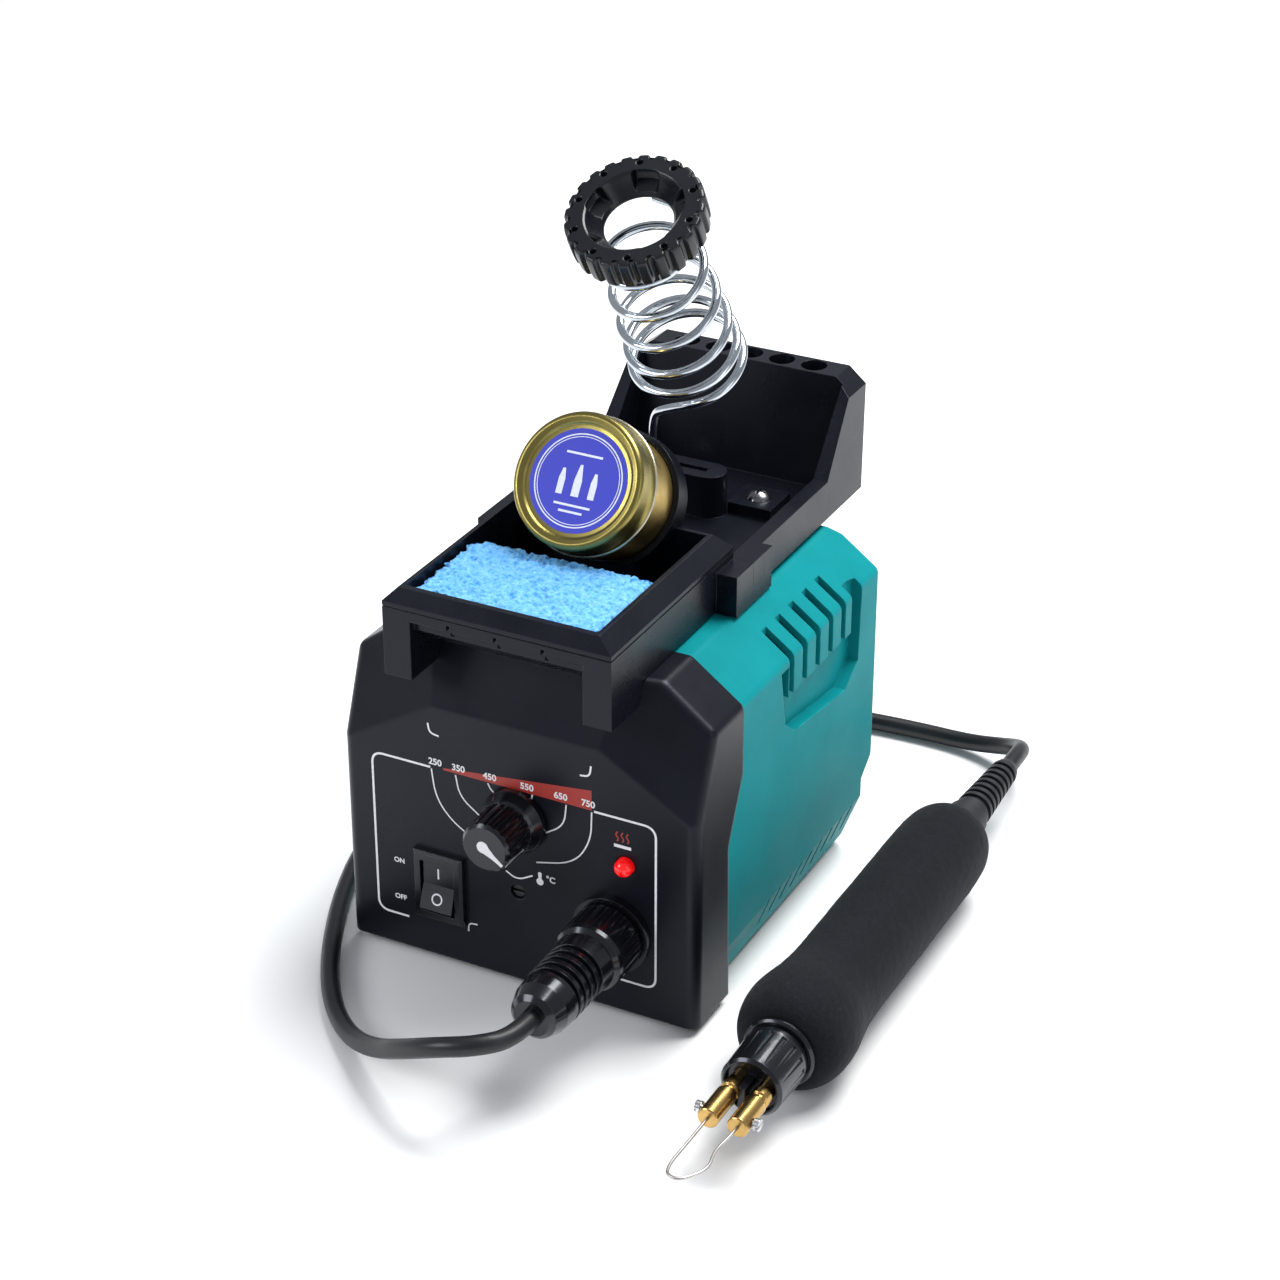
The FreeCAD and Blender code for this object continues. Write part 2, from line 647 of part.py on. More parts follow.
def board_parts():
    """Components soldered to the back of the board."""
    back = BOARD_Y + BOARD_T
    capacitor = rod(V(-22, back, 58), BACK, 5, 12)
    small = rod(V(-8, back, 60), BACK, 3, 8)
    relay = box(8, 24, back, back + 12, 50, 62)
    chip = box(-10, 2, back, back + 3, 42, 49)
    sink = [box(27 + 2.4 * n, 28 + 2.4 * n, back, back + 14, 47, 60) for n in range(4)]
    sink.append(box(27, 35.2, back, back + 2, 47, 60))
    return group([capacitor, small, relay, chip, union(sink)])


def board_screws():
    """Screws that hold the board to the cover's posts."""
    return group([headed_screw(V(x, BOARD_Y + BOARD_T, z), V(0, -1, 0), BOARD_T + 6, 2.4, 1.4) for x,
                  z in STANDOFFS])


# ---- knob, switch, trimmer, lamp ----


def pot_body():
    """Rotary control fixed behind the panel, with its threaded neck."""
    can = rod(V(KNOB_X, POT_BACK, KNOB_Z), BACK, POT_R, BOARD_Y - POT_BACK)
    neck = rod(V(KNOB_X, FRONT_Y - 2.0, KNOB_Z), BACK, 3.6, WALL + 2.5)
    bore = rod(V(KNOB_X, FRONT_Y - 5, KNOB_Z), BACK, SHAFT_R + SHAFT_GAP, WALL + 11)
    return union([can, neck]).cut(bore)


def pot_shaft():
    """Shaft of the rotary control, with a flat for the knob."""
    shaft = rod(V(KNOB_X, FRONT_Y - KNOB_LEN + 3, KNOB_Z), BACK, SHAFT_R, KNOB_LEN - 3 + WALL + 4)
    flat = box(KNOB_X - 5, KNOB_X + 5, FRONT_Y - KNOB_LEN, FRONT_Y - 5, KNOB_Z + SHAFT_R - 1.0,
               KNOB_Z + 6)
    return shaft.cut(flat)


def knob():
    """Fluted knob with a domed skirt."""
    face = FRONT_Y - KNOB_LEN
    skirt_front = FRONT_Y - 5.2
    back = FRONT_Y - 0.6
    profile = [(0, 0), (0, KNOB_R - 0.9), (0.9, KNOB_R), (skirt_front - face - 0.6, KNOB_R + 0.4)]
    profile += [(skirt_front - face + 0.4, KNOB_R + 1.0), (skirt_front - face + 1.9, KNOB_SKIRT_R - 0.5)]
    profile += [(skirt_front - face + 3.0, KNOB_SKIRT_R), (back - face, KNOB_SKIRT_R), (back - face, 0)]
    body = turned(profile, V(KNOB_X, face, KNOB_Z), BACK)
    hollow = rod(V(KNOB_X, FRONT_Y - 2.6, KNOB_Z), BACK, 5.6, 6)
    cuts = [hollow]
    for number in range(18):
        angle = math.radians(number * 20 + 10)
        x = KNOB_X + (KNOB_R + 0.75) * math.cos(angle)
        z = KNOB_Z + (KNOB_R + 0.75) * math.sin(angle)
        cuts.append(rod(V(x, face - 1, z), BACK, 1.0, skirt_front - face + 0.6))
    bore = rod(V(KNOB_X, FRONT_Y - KNOB_LEN + 3, KNOB_Z), BACK, SHAFT_R, KNOB_LEN + 4)
    flat = box(KNOB_X - 5, KNOB_X + 5, FRONT_Y - KNOB_LEN, FRONT_Y - 5, KNOB_Z + SHAFT_R - 1.0,
               KNOB_Z + 6)
    return body.cut(Part.makeCompound(cuts)).cut(bore.cut(flat))


def switch_housing():
    """Snap-in housing of the power switch with its bezel."""
    bezel = box(SWITCH_X - SWITCH_W / 2, SWITCH_X + SWITCH_W / 2, FRONT_Y - SWITCH_PROUD, FRONT_Y,
                SWITCH_Z - SWITCH_H / 2, SWITCH_Z + SWITCH_H / 2)
    front_edges = [edge for edge in bezel.Edges if edge.BoundBox.YMax < FRONT_Y - 0.1]
    bezel = bezel.makeChamfer(0.7, front_edges)
    half_w = SWITCH_CUT_W / 2
    half_h = SWITCH_CUT_H / 2
    can = box(SWITCH_X - half_w, SWITCH_X + half_w, FRONT_Y, FRONT_Y + 20, SWITCH_Z - half_h,
              SWITCH_Z + half_h)
    body = union([bezel, can])
    well_w = ROCKER_W / 2 + ROCKER_GAP
    well_h = ROCKER_H / 2 + ROCKER_GAP
    well = box(SWITCH_X - well_w, SWITCH_X + well_w, FRONT_Y - 5, FRONT_Y + 7, SWITCH_Z - well_h,
               SWITCH_Z + well_h)
    pivot = rod(V(SWITCH_X - well_w - 1, PIVOT_Y, SWITCH_Z), RIGHT, 1.05, 2 * well_w + 2)
    blades = [box(SWITCH_X - 3.2, SWITCH_X + 3.2, FRONT_Y + 20, FRONT_Y + 27, z - 0.4, z + 0.4)
              for z in (SWITCH_Z - 5, SWITCH_Z + 5)]
    return union([body.cut(well).cut(pivot)] + blades)


def switch_rocker():
    """Rocker of the power switch, a shallow vee, pressed in at the top."""
    half = ROCKER_H / 2 - 0.3
    face = FRONT_Y - 2.6
    points = [(face + 0.2, SWITCH_Z - half), (face + 1.3, SWITCH_Z), (face + 0.2, SWITCH_Z + half)]
    points += [(FRONT_Y + 2.2, SWITCH_Z + half - 1.0), (FRONT_Y + 4.2, SWITCH_Z),
               (FRONT_Y + 2.2, SWITCH_Z - half + 1.0)]
    plate = prism(points, "x", SWITCH_X - ROCKER_W / 2, SWITCH_X + ROCKER_W / 2)
    axle = rod(V(SWITCH_X - ROCKER_W / 2 - ROCKER_GAP - 0.9, PIVOT_Y, SWITCH_Z), RIGHT, 1.0,
               ROCKER_W + 2 * ROCKER_GAP + 1.8)
    rocker = union([plate, axle])
    rocker.rotate(V(SWITCH_X, PIVOT_Y, SWITCH_Z), RIGHT, -ROCKER_TILT)
    return rocker


def trimmer_body():
    """Calibration trimmer on the board, below the knob."""
    block = box(TRIM_X - 4.5, TRIM_X + 4.5, FRONT_Y + 6, BOARD_Y, TRIM_Z - 4.5, TRIM_Z + 4.5)
    return block.cut(rod(V(TRIM_X, FRONT_Y + 5, TRIM_Z), BACK, TRIM_R + SHAFT_GAP, 7))


def trimmer_rotor():
    """Slotted shaft of the trimmer, reached through the panel."""
    shaft = rod(V(TRIM_X, FRONT_Y + 0.8, TRIM_Z), BACK, TRIM_R, 11)
    return shaft.cut(box(TRIM_X - 3, TRIM_X + 3, FRONT_Y, FRONT_Y + 1.9, TRIM_Z - 0.4, TRIM_Z + 0.4))


def indicator_lamp():
    """Heating lamp: a round-nosed lens that reaches back to the board."""
    stem = rod(V(LED_X, FRONT_Y - 1.0, LED_Z), BACK, LED_R, BOARD_Y - FRONT_Y + 1.0)
    nose = Part.makeSphere(LED_R, V(LED_X, FRONT_Y - 1.0, LED_Z))
    return union([stem, nose])


# ---- tool socket and plug ----


def tool_socket():
    """Panel socket with a flange outside and a threaded neck inside."""
    flange = rod(V(SOCKET_X, SOCKET_OUT, SOCKET_Z), BACK, SOCKET_FLANGE_R, 2.5)
    neck = rod(V(SOCKET_X, FRONT_Y - 1, SOCKET_Z), BACK, SOCKET_R, 15)
    nose = rod(V(SOCKET_X, FRONT_Y - 9, SOCKET_Z), BACK, 7.4, 10)
    body = union([flange, neck, nose])
    return body.cut(rod(V(SOCKET_X, FRONT_Y - 10, SOCKET_Z), BACK, CORE_R + 0.2, 16))


def socket_nut():
    """Hexagonal nut that holds the socket from inside."""
    corners = [(SOCKET_X + 10 * math.cos(math.radians(60 * n)),
                SOCKET_Z + 10 * math.sin(math.radians(60 * n))) for n in range(6)]
    nut = prism(corners, "y", FRONT_Y + WALL, FRONT_Y + WALL + 2.5)
    return nut.cut(rod(V(SOCKET_X, FRONT_Y, SOCKET_Z), BACK, SOCKET_R, 10))


def plug_core():
    """Insulating front of the plug with its five contact pins."""
    body = rod(V(SOCKET_X, PLUG_END + 24, SOCKET_Z), BACK, CORE_R, FRONT_Y + 1 - PLUG_END - 24)
    pins = []
    for number in range(5):
        angle = math.radians(72 * number + 90)
        pins.append(rod(V(SOCKET_X + 3.2 * math.cos(angle), FRONT_Y, SOCKET_Z + 3.2 * math.sin(angle)),
                        BACK, 0.7, 4.5))
    return union([body] + pins)


def plug_ring():
    """Knurled ring that locks the plug to the socket."""
    length = PLUG_RING_LEN
    r = PLUG_RING_R
    ring = turned([(0, 0), (0, r - 1.4), (1.2, r - 0.3), (2.4, r), (length - 0.8, r), (length, r - 0.8),
                   (length, 0)],
                  V(SOCKET_X, RING_FRONT, SOCKET_Z), BACK)
    cuts = [rod(V(SOCKET_X, RING_FRONT - 1, SOCKET_Z), BACK, CORE_R + 0.08, 6)]
    cuts.append(rod(V(SOCKET_X, RING_FRONT + 3, SOCKET_Z), BACK, 7.7, 20))
    for number in range(24):
        angle = math.radians(15 * number)
        x = SOCKET_X + (r + 0.35) * math.cos(angle)
        z = SOCKET_Z + (r + 0.35) * math.sin(angle)
        cuts.append(rod(V(x, RING_FRONT + 3, z), BACK, 0.75, length))
    return ring.cut(Part.makeCompound(cuts))


def plug_boot():
    """Moulded rear of the plug, ribbed, that grips the cord."""
    length = RING_FRONT - 0.4 - PLUG_END
    r = PLUG_BOOT_R
    profile = [(0, 0), (0, r - 3.6), (1.2, r - 2.2), (5.0, r - 0.9), (8.5, r - 0.6)]
    for number in range(5):
        start = 10.0 + number * 2.9
        profile += [(start, r - 0.6), (start + 0.3, r - 1.7), (start + 1.0, r - 1.7),
                    (start + 1.3, r - 0.45)]
    profile += [(length, r), (length, 0)]
    boot = turned(profile, V(SOCKET_X, PLUG_END, SOCKET_Z), BACK)
    return boot.cut(rod(V(SOCKET_X, PLUG_END + 24, SOCKET_Z), BACK, CORE_R, 40))


# ---- tray ----
def rim_block(half, front, rear, low, high, inward, front_in):
    """A block whose top face is smaller than its foot: front_in at the front, inward elsewhere."""
    lower = [V(-half, front, low), V(half, front, low), V(half, rear, low), V(-half, rear, low)]
    shift = [V(inward, front_in, 0), V(-inward, front_in, 0), V(-inward, -inward, 0),
             V(inward, -inward, 0)]
    upper = [V(p.x + d.x, p.y + d.y, high) for p, d in zip(lower, shift)]
    rings = [Part.makePolygon(points + points[:1]) for points in (lower, upper)]
    return Part.makeLoft(rings, True, True)


def screw_block(x, y, top):
    """A square raised seat for a tray screw."""
    return box(x - 6.5, x + 6.5, y - 6.5, y + 6.5, TRAY_FLOOR_Z - 0.5, top)


def tray_back():
    """Tall rear of the tray: side walls, leaning rear wall and its corners."""
    low = CASE_H + 1.0
    side = [(FRAME_REAR_Y, low), (FRAME_REAR_Y, RAIL_Z), (RAIL_REAR_Y, RAIL_Z)]
    side += [(BACK_TOP_Y - BACK_T, BACK_TOP_Z), (BACK_TOP_Y, BACK_TOP_Z), (BACK_FOOT_Y, low)]
    block = prism(side, "x", -RAIL_HALF, RAIL_HALF)
    shoulder = [(-RAIL_HALF, low - 1), (-RAIL_HALF + WALL_LEAN, BACK_TOP_Z - 4)]
    shoulder.append((-BACK_TOP_HALF, BACK_TOP_Z))
    outline = shoulder + [(-x, z) for x, z in reversed(shoulder)]
    block = block.common(prism(outline, "y", -FAR, FAR))
    inner_top = BACK_TOP_Y - BACK_T
    inner_foot = inner_top - (BACK_TOP_Y - BACK_FOOT_Y)
    room = [(FRAME_REAR_Y - 6, TRAY_FLOOR_Z), (FRAME_REAR_Y - 6, FAR), (inner_top, FAR)]
    room += [(inner_top, BACK_TOP_Z), (inner_foot, TRAY_FLOOR_Z)]
    room_half = RAIL_HALF - RAIL_WALL
    room_side = [(-room_half, 0), (-room_half, TRAY_FLOOR_Z + 8), (-room_half + WALL_LEAN, FAR)]
    room_outline = room_side + [(-x, z) for x, z in reversed(room_side)]
    hollow = prism(room, "x", -room_half, room_half).common(prism(room_outline, "y", -FAR, FAR))
    return block.cut(hollow)


def tip_hole_line():
    """Foot points and direction of the five tip holes in the rear wall."""
    direction = V(BACK_LEAN.x, BACK_LEAN.y, BACK_LEAN.z)
    direction.normalize()
    middle = BACK_TOP_Y - BACK_T / 2
    shifts = [(n - (TIP_HOLES - 1) / 2) * TIP_HOLE_PITCH for n in range(TIP_HOLES)]
    return [V(shift, middle, BACK_TOP_Z) for shift in shifts], direction


def tray_frame():
    """Front frame that holds the sponge: four walls, floor, two legs and a slit apron."""
    inner_half = FRAME_HALF - FRAME_WALL
    frame = box(-FRAME_HALF, FRAME_HALF, FRAME_FRONT_Y, FRAME_REAR_Y, LEG_LOW_Z, FRAME_RIM_Z)
    rim = rim_block(FRAME_HALF, FRAME_FRONT_Y, FRAME_REAR_Y, FRAME_RIM_Z, FRAME_TOP_Z, FRAME_RIM_IN,
                    FRONT_RIM_IN)
    frame = union([frame, rim])
    well_front = FRAME_FRONT_Y + FRONT_WALL
    well_rear = FRAME_REAR_Y - FRAME_WALL
    bed_rear = well_front + 2 * SPONGE_GAP + SPONGE_L
    leg_half = FRAME_HALF - LEG_W
    front = FRAME_FRONT_Y - 5
    cuts = [box(-inner_half, inner_half, well_front, bed_rear, SPONGE_BED_Z, FAR)]
    cuts.append(box(-inner_half, inner_half, bed_rear, well_rear, TRAY_FLOOR_Z, FAR))
    apron_back = FRAME_FRONT_Y + APRON_BACK
    under = [(front, 0), (front, APRON_Z), (apron_back, APRON_Z), (apron_back, WELL_LOW_Z)]
    under += [(FRAME_FRONT_Y + WELL_REACH, TRAY_UNDER_Z), (FRAME_REAR_Y + 5, TRAY_UNDER_Z),
              (FRAME_REAR_Y + 5, 0)]
    cuts.append(prism(under, "x", -leg_half, leg_half))
    cuts.append(box(-FAR, FAR, FRAME_FRONT_Y + LEG_DEPTH, FAR, 0, TRAY_UNDER_Z))
    for x in (-APRON_SLIT_X, 0, APRON_SLIT_X):
        cuts.append(box(x - 0.5, x + 0.5, front, apron_back + 0.4, WELL_LOW_Z + 0.6, APRON_Z + 1.6))
    groove_z = FRAME_RIM_Z - 1.2
    ring = box(-FAR, FAR, -FAR, FAR, groove_z - RIM_GROOVE, groove_z)
    core_half = FRAME_HALF - RIM_GROOVE
    core = box(-core_half, core_half, FRAME_FRONT_Y + RIM_GROOVE, FRAME_REAR_Y - RIM_GROOVE, 0, FAR)
    cuts.append(ring.cut(core))
    return frame.cut(Part.makeCompound(cuts))


def tray_body():
    """The tray in one piece, before it is parted into frame, bed and tip rack."""
    blocks = []
    for side in (-1, 1):
        near, far = sorted([side * (RAIL_HALF - RAIL_WALL), side * RAIL_BLOCK_HALF])
        blocks.append(box(near, far, FRAME_REAR_Y - 10, RAIL_BLOCK_REAR_Y, CASE_H - 4, RAIL_Z))
    straight = BOSS_HALF_X - BOSS_R
    boss = [box(-straight, straight, BOSS_Y - BOSS_R, BOSS_Y + BOSS_R, TRAY_FLOOR_Z - 1, BOSS_TOP_Z)]
    for side in (-1, 1):
        end = V(side * straight, BOSS_Y, TRAY_FLOOR_Z - 1)
        boss.append(rod(end, UP, BOSS_R, BOSS_TOP_Z - TRAY_FLOOR_Z + 1))
    seats = [screw_block(s * TRAY_SCREW_X, TRAY_SCREW_REAR_Y, TRAY_FLOOR_Z + SEAT_H) for s in (-1, 1)]
    bed_half = RAIL_HALF - 1
    bed = box(-bed_half, bed_half, FRAME_REAR_Y - 8, REAR_Y - 6, TRAY_UNDER_Z, TRAY_FLOOR_Z)
    tray = union([tray_frame(), tray_back(), bed] + blocks + boss + seats)
    cuts = [case_block(-TRAY_GAP), cup_block()]
    cuts.append(rod(TIN_FOOT, TIN_OUT, TIN_R + CUP_GAP, 60))
    tops, direction = tip_hole_line()
    for top in tops:
        cuts.append(rod(top - direction * TIP_HOLE_DEPTH, direction, TIP_HOLE_R, TIP_HOLE_DEPTH + 5))
    for side in (-1, 1):
        for y in (TRAY_SCREW_FRONT_Y, TRAY_SCREW_REAR_Y):
            cuts.append(rod(V(side * TRAY_SCREW_X, y, 90), UP, SCREW_R + 0.05, 40))
        well = V(side * TRAY_SCREW_X, TRAY_SCREW_FRONT_Y, TRAY_FLOOR_Z)
        cuts.append(rod(well, UP, SCREW_HEAD_R + HEAD_GAP, SPONGE_BED_Z - TRAY_FLOOR_Z + 1))
    cuts.append(rod(V(STEM_X, STEM_Y, STEM_FOOT_Z - 0.5), UP, WIRE_R + STEM_GAP, 30))
    cuts.append(box(-3, 6, BOSS_Y - 1.1, BOSS_Y + 1.1, BOSS_TOP_Z - 5, BOSS_TOP_Z + 5))
    for cut in cuts:
        tray = tray.cut(cut)
    return tray


def cup_block():
    """Outer form of the cup that the tin sits in, with the foot that ties it to the bed."""
    cup_r = TIN_R + CUP_GAP + CUP_WALL
    cup = rod(TIN_FOOT - TIN_OUT * CUP_BACK, TIN_OUT, cup_r, CUP_DEPTH + CUP_BACK)
    cradle = box(-11, 11, FRAME_REAR_Y - 18, FRAME_REAR_Y - 1, TRAY_FLOOR_Z, TRAY_FLOOR_Z + 10)
    return cup.fuse(cradle)


def holder_tray():
    """Front part of the tray, with the sponge's well."""
    return tray_body().common(box(-FAR, FAR, -FAR, FRAME_REAR_Y, 0, FAR))


def tray_bed():
    """Middle part of the tray, with its rails, the stand's boss and two screw seats."""
    return tray_body().common(box(-FAR, FAR, FRAME_REAR_Y, RAIL_REAR_Y, 0, FAR))


def tip_rack():
    """Rear part of the tray, with the holes for spare tips."""
    return tray_body().common(box(-FAR, FAR, RAIL_REAR_Y, FAR, 0, FAR))


def tin_cup():
    """Round cup that holds the tips tin at its slope."""
    return cup_block().cut(rod(TIN_FOOT, TIN_OUT, TIN_R + CUP_GAP, 60))


def tray_screws():
    """Dome-headed screws that hold the tray to the case."""
    front = [domed_screw(V(s * TRAY_SCREW_X, TRAY_SCREW_FRONT_Y, TRAY_FLOOR_Z), 14) for s in (-1, 1)]
    rear = [domed_screw(V(s * TRAY_SCREW_X, TRAY_SCREW_REAR_Y, TRAY_FLOOR_Z + SEAT_H), 16) for s in (-1, 1)]
    return group(front + rear)


def sponge():
    """Cleaning sponge that lies in the front of the tray."""
    half = FRAME_HALF - FRAME_WALL - SPONGE_GAP
    front = FRAME_FRONT_Y + FRONT_WALL + SPONGE_GAP
    return rounded_box(-half, half, front, front + SPONGE_L, SPONGE_BED_Z, SPONGE_TOP_Z, 0.8)


def tips_tin():
    """Open round tin, seated in the tray's cup."""
    tin_h = TIN_LEN - LID_RECESS - LID_T - 0.2
    can = turned([(0, 0), (0, TIN_R - 1), (1, TIN_R), (tin_h, TIN_R), (tin_h, 0)],
                 TIN_FOOT + TIN_OUT * 0.1, TIN_OUT)
    return can.cut(rod(TIN_FOOT + TIN_OUT * (0.1 + TIN_T), TIN_OUT, TIN_R - TIN_T, TIN_LEN))


def tin_lid():
    """Slip-on lid with a raised rim and a rolled lower edge."""
    r = LID_R
    skirt = LID_SKIRT
    profile = [(0, TIN_R + LID_GAP), (0, r + 0.35), (0.5, r + 0.55), (1.1, r + 0.35), (1.4, r),
               (skirt - 1.6, r)]
    profile += [(skirt - 0.5, r - 0.5), (skirt, r - 1.5), (skirt, r - 2.7),
                (skirt - LID_RECESS, r - 3.5), (skirt - LID_RECESS, 0)]
    profile += [(skirt - LID_RECESS - LID_T, 0), (skirt - LID_RECESS - LID_T, TIN_R + LID_GAP)]
    return turned(profile, TIN_FACE - TIN_OUT * skirt, TIN_OUT)


# ---- wire stand ----


def coil_rise(turns):
    """Height along the coil's axis after some turns, while the pitch grows from close to open."""
    eased = min(turns, COIL_EASE)
    growth = (COIL_PITCH - COIL_FIRST_PITCH) / COIL_EASE
    rise = COIL_FIRST_PITCH * eased + growth * eased ** 2 / 2
    return rise + COIL_PITCH * (turns - eased) - COIL_DROP


def coil_point(turns):
    """A point on the coil's centre line, counted in turns from the lowest ring."""
    share = (coil_rise(turns) + COIL_DROP) / (coil_rise(COIL_TURNS) + COIL_DROP)
    radius = COIL_LOW_R + (COIL_TOP_R - COIL_LOW_R) * share
    angle = math.radians(COIL_START + 360 * turns)
    around = RIGHT * (radius * math.cos(angle)) + COIL_ACROSS * (radius * math.sin(angle))
    return COIL_LOW + around + COIL_DIR * coil_rise(turns)


def wire_stand():
    """Sprung wire: a stem, a bend, and a tapering coil, one continuous wire."""
    count = int(COIL_TURNS * COIL_STEPS)
    coil = [coil_point(step / COIL_STEPS) for step in range(count + 1)]
    start = coil[0]
    stem = [V(STEM_X, STEM_Y, STEM_FOOT_Z), V(STEM_X, STEM_Y, STEM_FOOT_Z + 13),
            V(STEM_X + 0.6, STEM_Y - 1.0, STEM_FOOT_Z + 24)]
    tail = stem + [V(-3.0, start.y + 1.6, start.z - 5.0)]
    solid, radii, length = tube(tail + coil, WIRE_R)
    print("wire stand: length", round(length, 1), "smallest bend", round(min(radii), 1))
    return solid


def stand_collar():
    """Scalloped collar on top of the coil, with a funnel mouth and a clip tab."""
    foot = COIL_LOW + COIL_DIR * COLLAR_AT
    r = COLLAR_R
    bore = COLLAR_BORE_R
    wire_room = COIL_TOP_R + WIRE_R + 0.8
    profile = [(0, wire_room), (0, r - 1.0), (0.8, r - 0.2), (COLLAR_T - 1.2, r), (COLLAR_T, r - 1.2)]
    profile += [(COLLAR_T, bore + 0.6), (COLLAR_T - 1.0, bore), (5.2, bore - 1.6), (3.4, bore - 3.4),
                (2.6, bore - 3.4)]
    profile += [(4.2, bore - 0.4), (4.2, wire_room)]
    collar = turned(profile, foot, COIL_DIR)
    cuts = []
    for number in range(COLLAR_RIBS):
        angle = math.radians(360 / COLLAR_RIBS * number)
        around = RIGHT * math.cos(angle) + COIL_ACROSS * math.sin(angle)
        cuts.append(rod(foot + around * (r + 0.5) - COIL_DIR, COIL_DIR, 1.1, COLLAR_T + 2))
    for number in range(10):
        angle = math.radians(36 * number + 10)
        around = RIGHT * math.cos(angle) + COIL_ACROSS * math.sin(angle)
        cuts.append(rod(foot + around * (r - 2.9) + COIL_DIR * (COLLAR_T - 2.5), COIL_DIR, 0.8, 5))
    for number in range(5):
        angle = math.radians(72 * number + 28)
        around = RIGHT * math.cos(angle) + COIL_ACROSS * math.sin(angle)
        cuts.append(rod(foot + around * (bore - 0.4) + COIL_DIR * 4.6, COIL_DIR, 1.9, 10))
    collar = collar.cut(Part.makeCompound(cuts))
    return union([collar])


# ---- pen ----
def pen_axis(y):
    """A point on the pen's centre line."""
    return V(PEN_X, y, PEN_Z)


def pen_grip():
    """Foam sleeve with a swollen front end and rounded rear."""
    length = GRIP_REAR_Y - GRIP_FRONT_Y
    r = PEN_GRIP_R
    b = PEN_BULGE_R
    profile = [(0, 0), (0, 10.6), (1.2, 12.6), (3.5, 14.2), (7, 15.2), (11, b), (16, b - 0.3),
               (22, b - 1.3)]
    profile += [(30, r), (length - 14, r), (length - 6, r - 0.8), (length - 2, r - 3), (length, r - 6),
                (length, 0)]
    grip = turned(profile, pen_axis(GRIP_FRONT_Y), BACK)
    return grip.cut(rod(pen_axis(GRIP_FRONT_Y - 5), BACK, BARREL_R, length + 10))


def pen_barrel():
    """Hard inner tube of the pen, with two shoulder rings in front of the foam."""
    front = GRIP_FRONT_Y
    tube_body = rod(pen_axis(front), BACK, BARREL_R, GRIP_REAR_Y - front)
    shoulder = turned([(0, 0), (0, 9.2), (0.6, 9.8), (1.2, 9.8), (1.8, 9.2), (1.8, 0)],
                      pen_axis(front - 1.8), BACK)
    spigot = rod(pen_axis(front - 12), BACK, 6.2, 12)
    body = union([tube_body, shoulder, spigot])
    return body.cut(rod(pen_axis(front - 20), BACK, 5.0, 200))


def nose_nut():
    """Ribbed nut that clamps the terminal block into the barrel."""
    r = NUT_R
    length = NUT_LEN - 2.0
    profile = [(0, 0), (0, r - 1.2), (0.8, r - 0.4), (length - 2, r), (length - 1.2, r - 0.6),
               (length, r - 0.6), (length, 0)]
    nut = turned(profile, pen_axis(NUT_FACE), BACK)
    cuts = [rod(pen_axis(NUT_FACE - 1), BACK, NUT_BORE_R, 5.2),
            rod(pen_axis(NUT_FACE + 4), BACK, 6.3, 40)]
    for number in range(16):
        angle = math.radians(22.5 * number)
        cuts.append(rod(pen_axis(NUT_FACE + 1.6) + V(math.cos(angle), 0, math.sin(angle)) * (r + 0.6),
                        BACK, 1.0, length - 4.5))
    return nut.cut(Part.makeCompound(cuts))


def terminal_block():
    """Insulator that carries the two terminals, with a divider between them."""
    plug = rod(pen_axis(NUT_FACE + 1.5), BACK, NUT_BORE_R - 0.15, 2.4)
    body = rod(pen_axis(NUT_FACE + 1.5), BACK, 4.9, 24)
    divider = box(PEN_X - 0.9, PEN_X + 0.9, NUT_FACE - 5, NUT_FACE + 3, PEN_Z - 3.2, PEN_Z + 3.2)
    block = union([plug, body, divider])
    holes = [rod(V(PEN_X + s * TERMINAL_SPACING / 2, NUT_FACE - 10, PEN_Z), BACK, TERMINAL_R - 0.5, 14)
             for s in (-1, 1)]
    return block.cut(Part.makeCompound(holes))


def terminal(side):
    """Brass terminal: a bored pin with a waist, split for the clamp screw."""
    x = PEN_X + side * TERMINAL_SPACING / 2
    start = V(x, NUT_FACE - TERMINAL_OUT, PEN_Z)
    r = TERMINAL_R
    head = TERMINAL_OUT - 5.2
    profile = [(0, 0), (0, r - 0.3), (0.3, r), (head, r), (head + 0.5, r - 0.8), (head + 1.6, r - 0.8),
               (head + 2.0, r - 0.2)]
    profile += [(head + 4.2, r - 0.2), (head + 4.6, r - 0.5), (TERMINAL_OUT + 3.9, r - 0.5),
                (TERMINAL_OUT + 3.9, 0)]
    pin = turned(profile, start, BACK)
    wire_hole = rod(start - BACK, BACK, TIP_WIRE_R + 0.05, 9)
    screw_hole = rod(V(x, start.y + 3.4, PEN_Z), V(side, 0, 0), 0.85, 6)
    return pin.cut(wire_hole).cut(screw_hole)


def terminal_screw(side):
    """Small cheese-head screw that clamps the tip wire in its terminal."""
    x = PEN_X + side * TERMINAL_SPACING / 2
    y = NUT_FACE - TERMINAL_OUT + 3.4
    outward = V(side, 0, 0)
    shank = rod(V(x, y, PEN_Z) + outward * 0.75, outward, 0.8, TERMINAL_R)
    head = rod(V(x, y, PEN_Z) + outward * (TERMINAL_R + 0.3), outward, 1.6, 1.5)
    slot_x = sorted([x + side * (TERMINAL_R + 1.2), x + side * (TERMINAL_R + 4)])
    return union([shank, head]).cut(box(slot_x[0], slot_x[1], y - 3, y + 3, PEN_Z - 0.25, PEN_Z + 0.25))


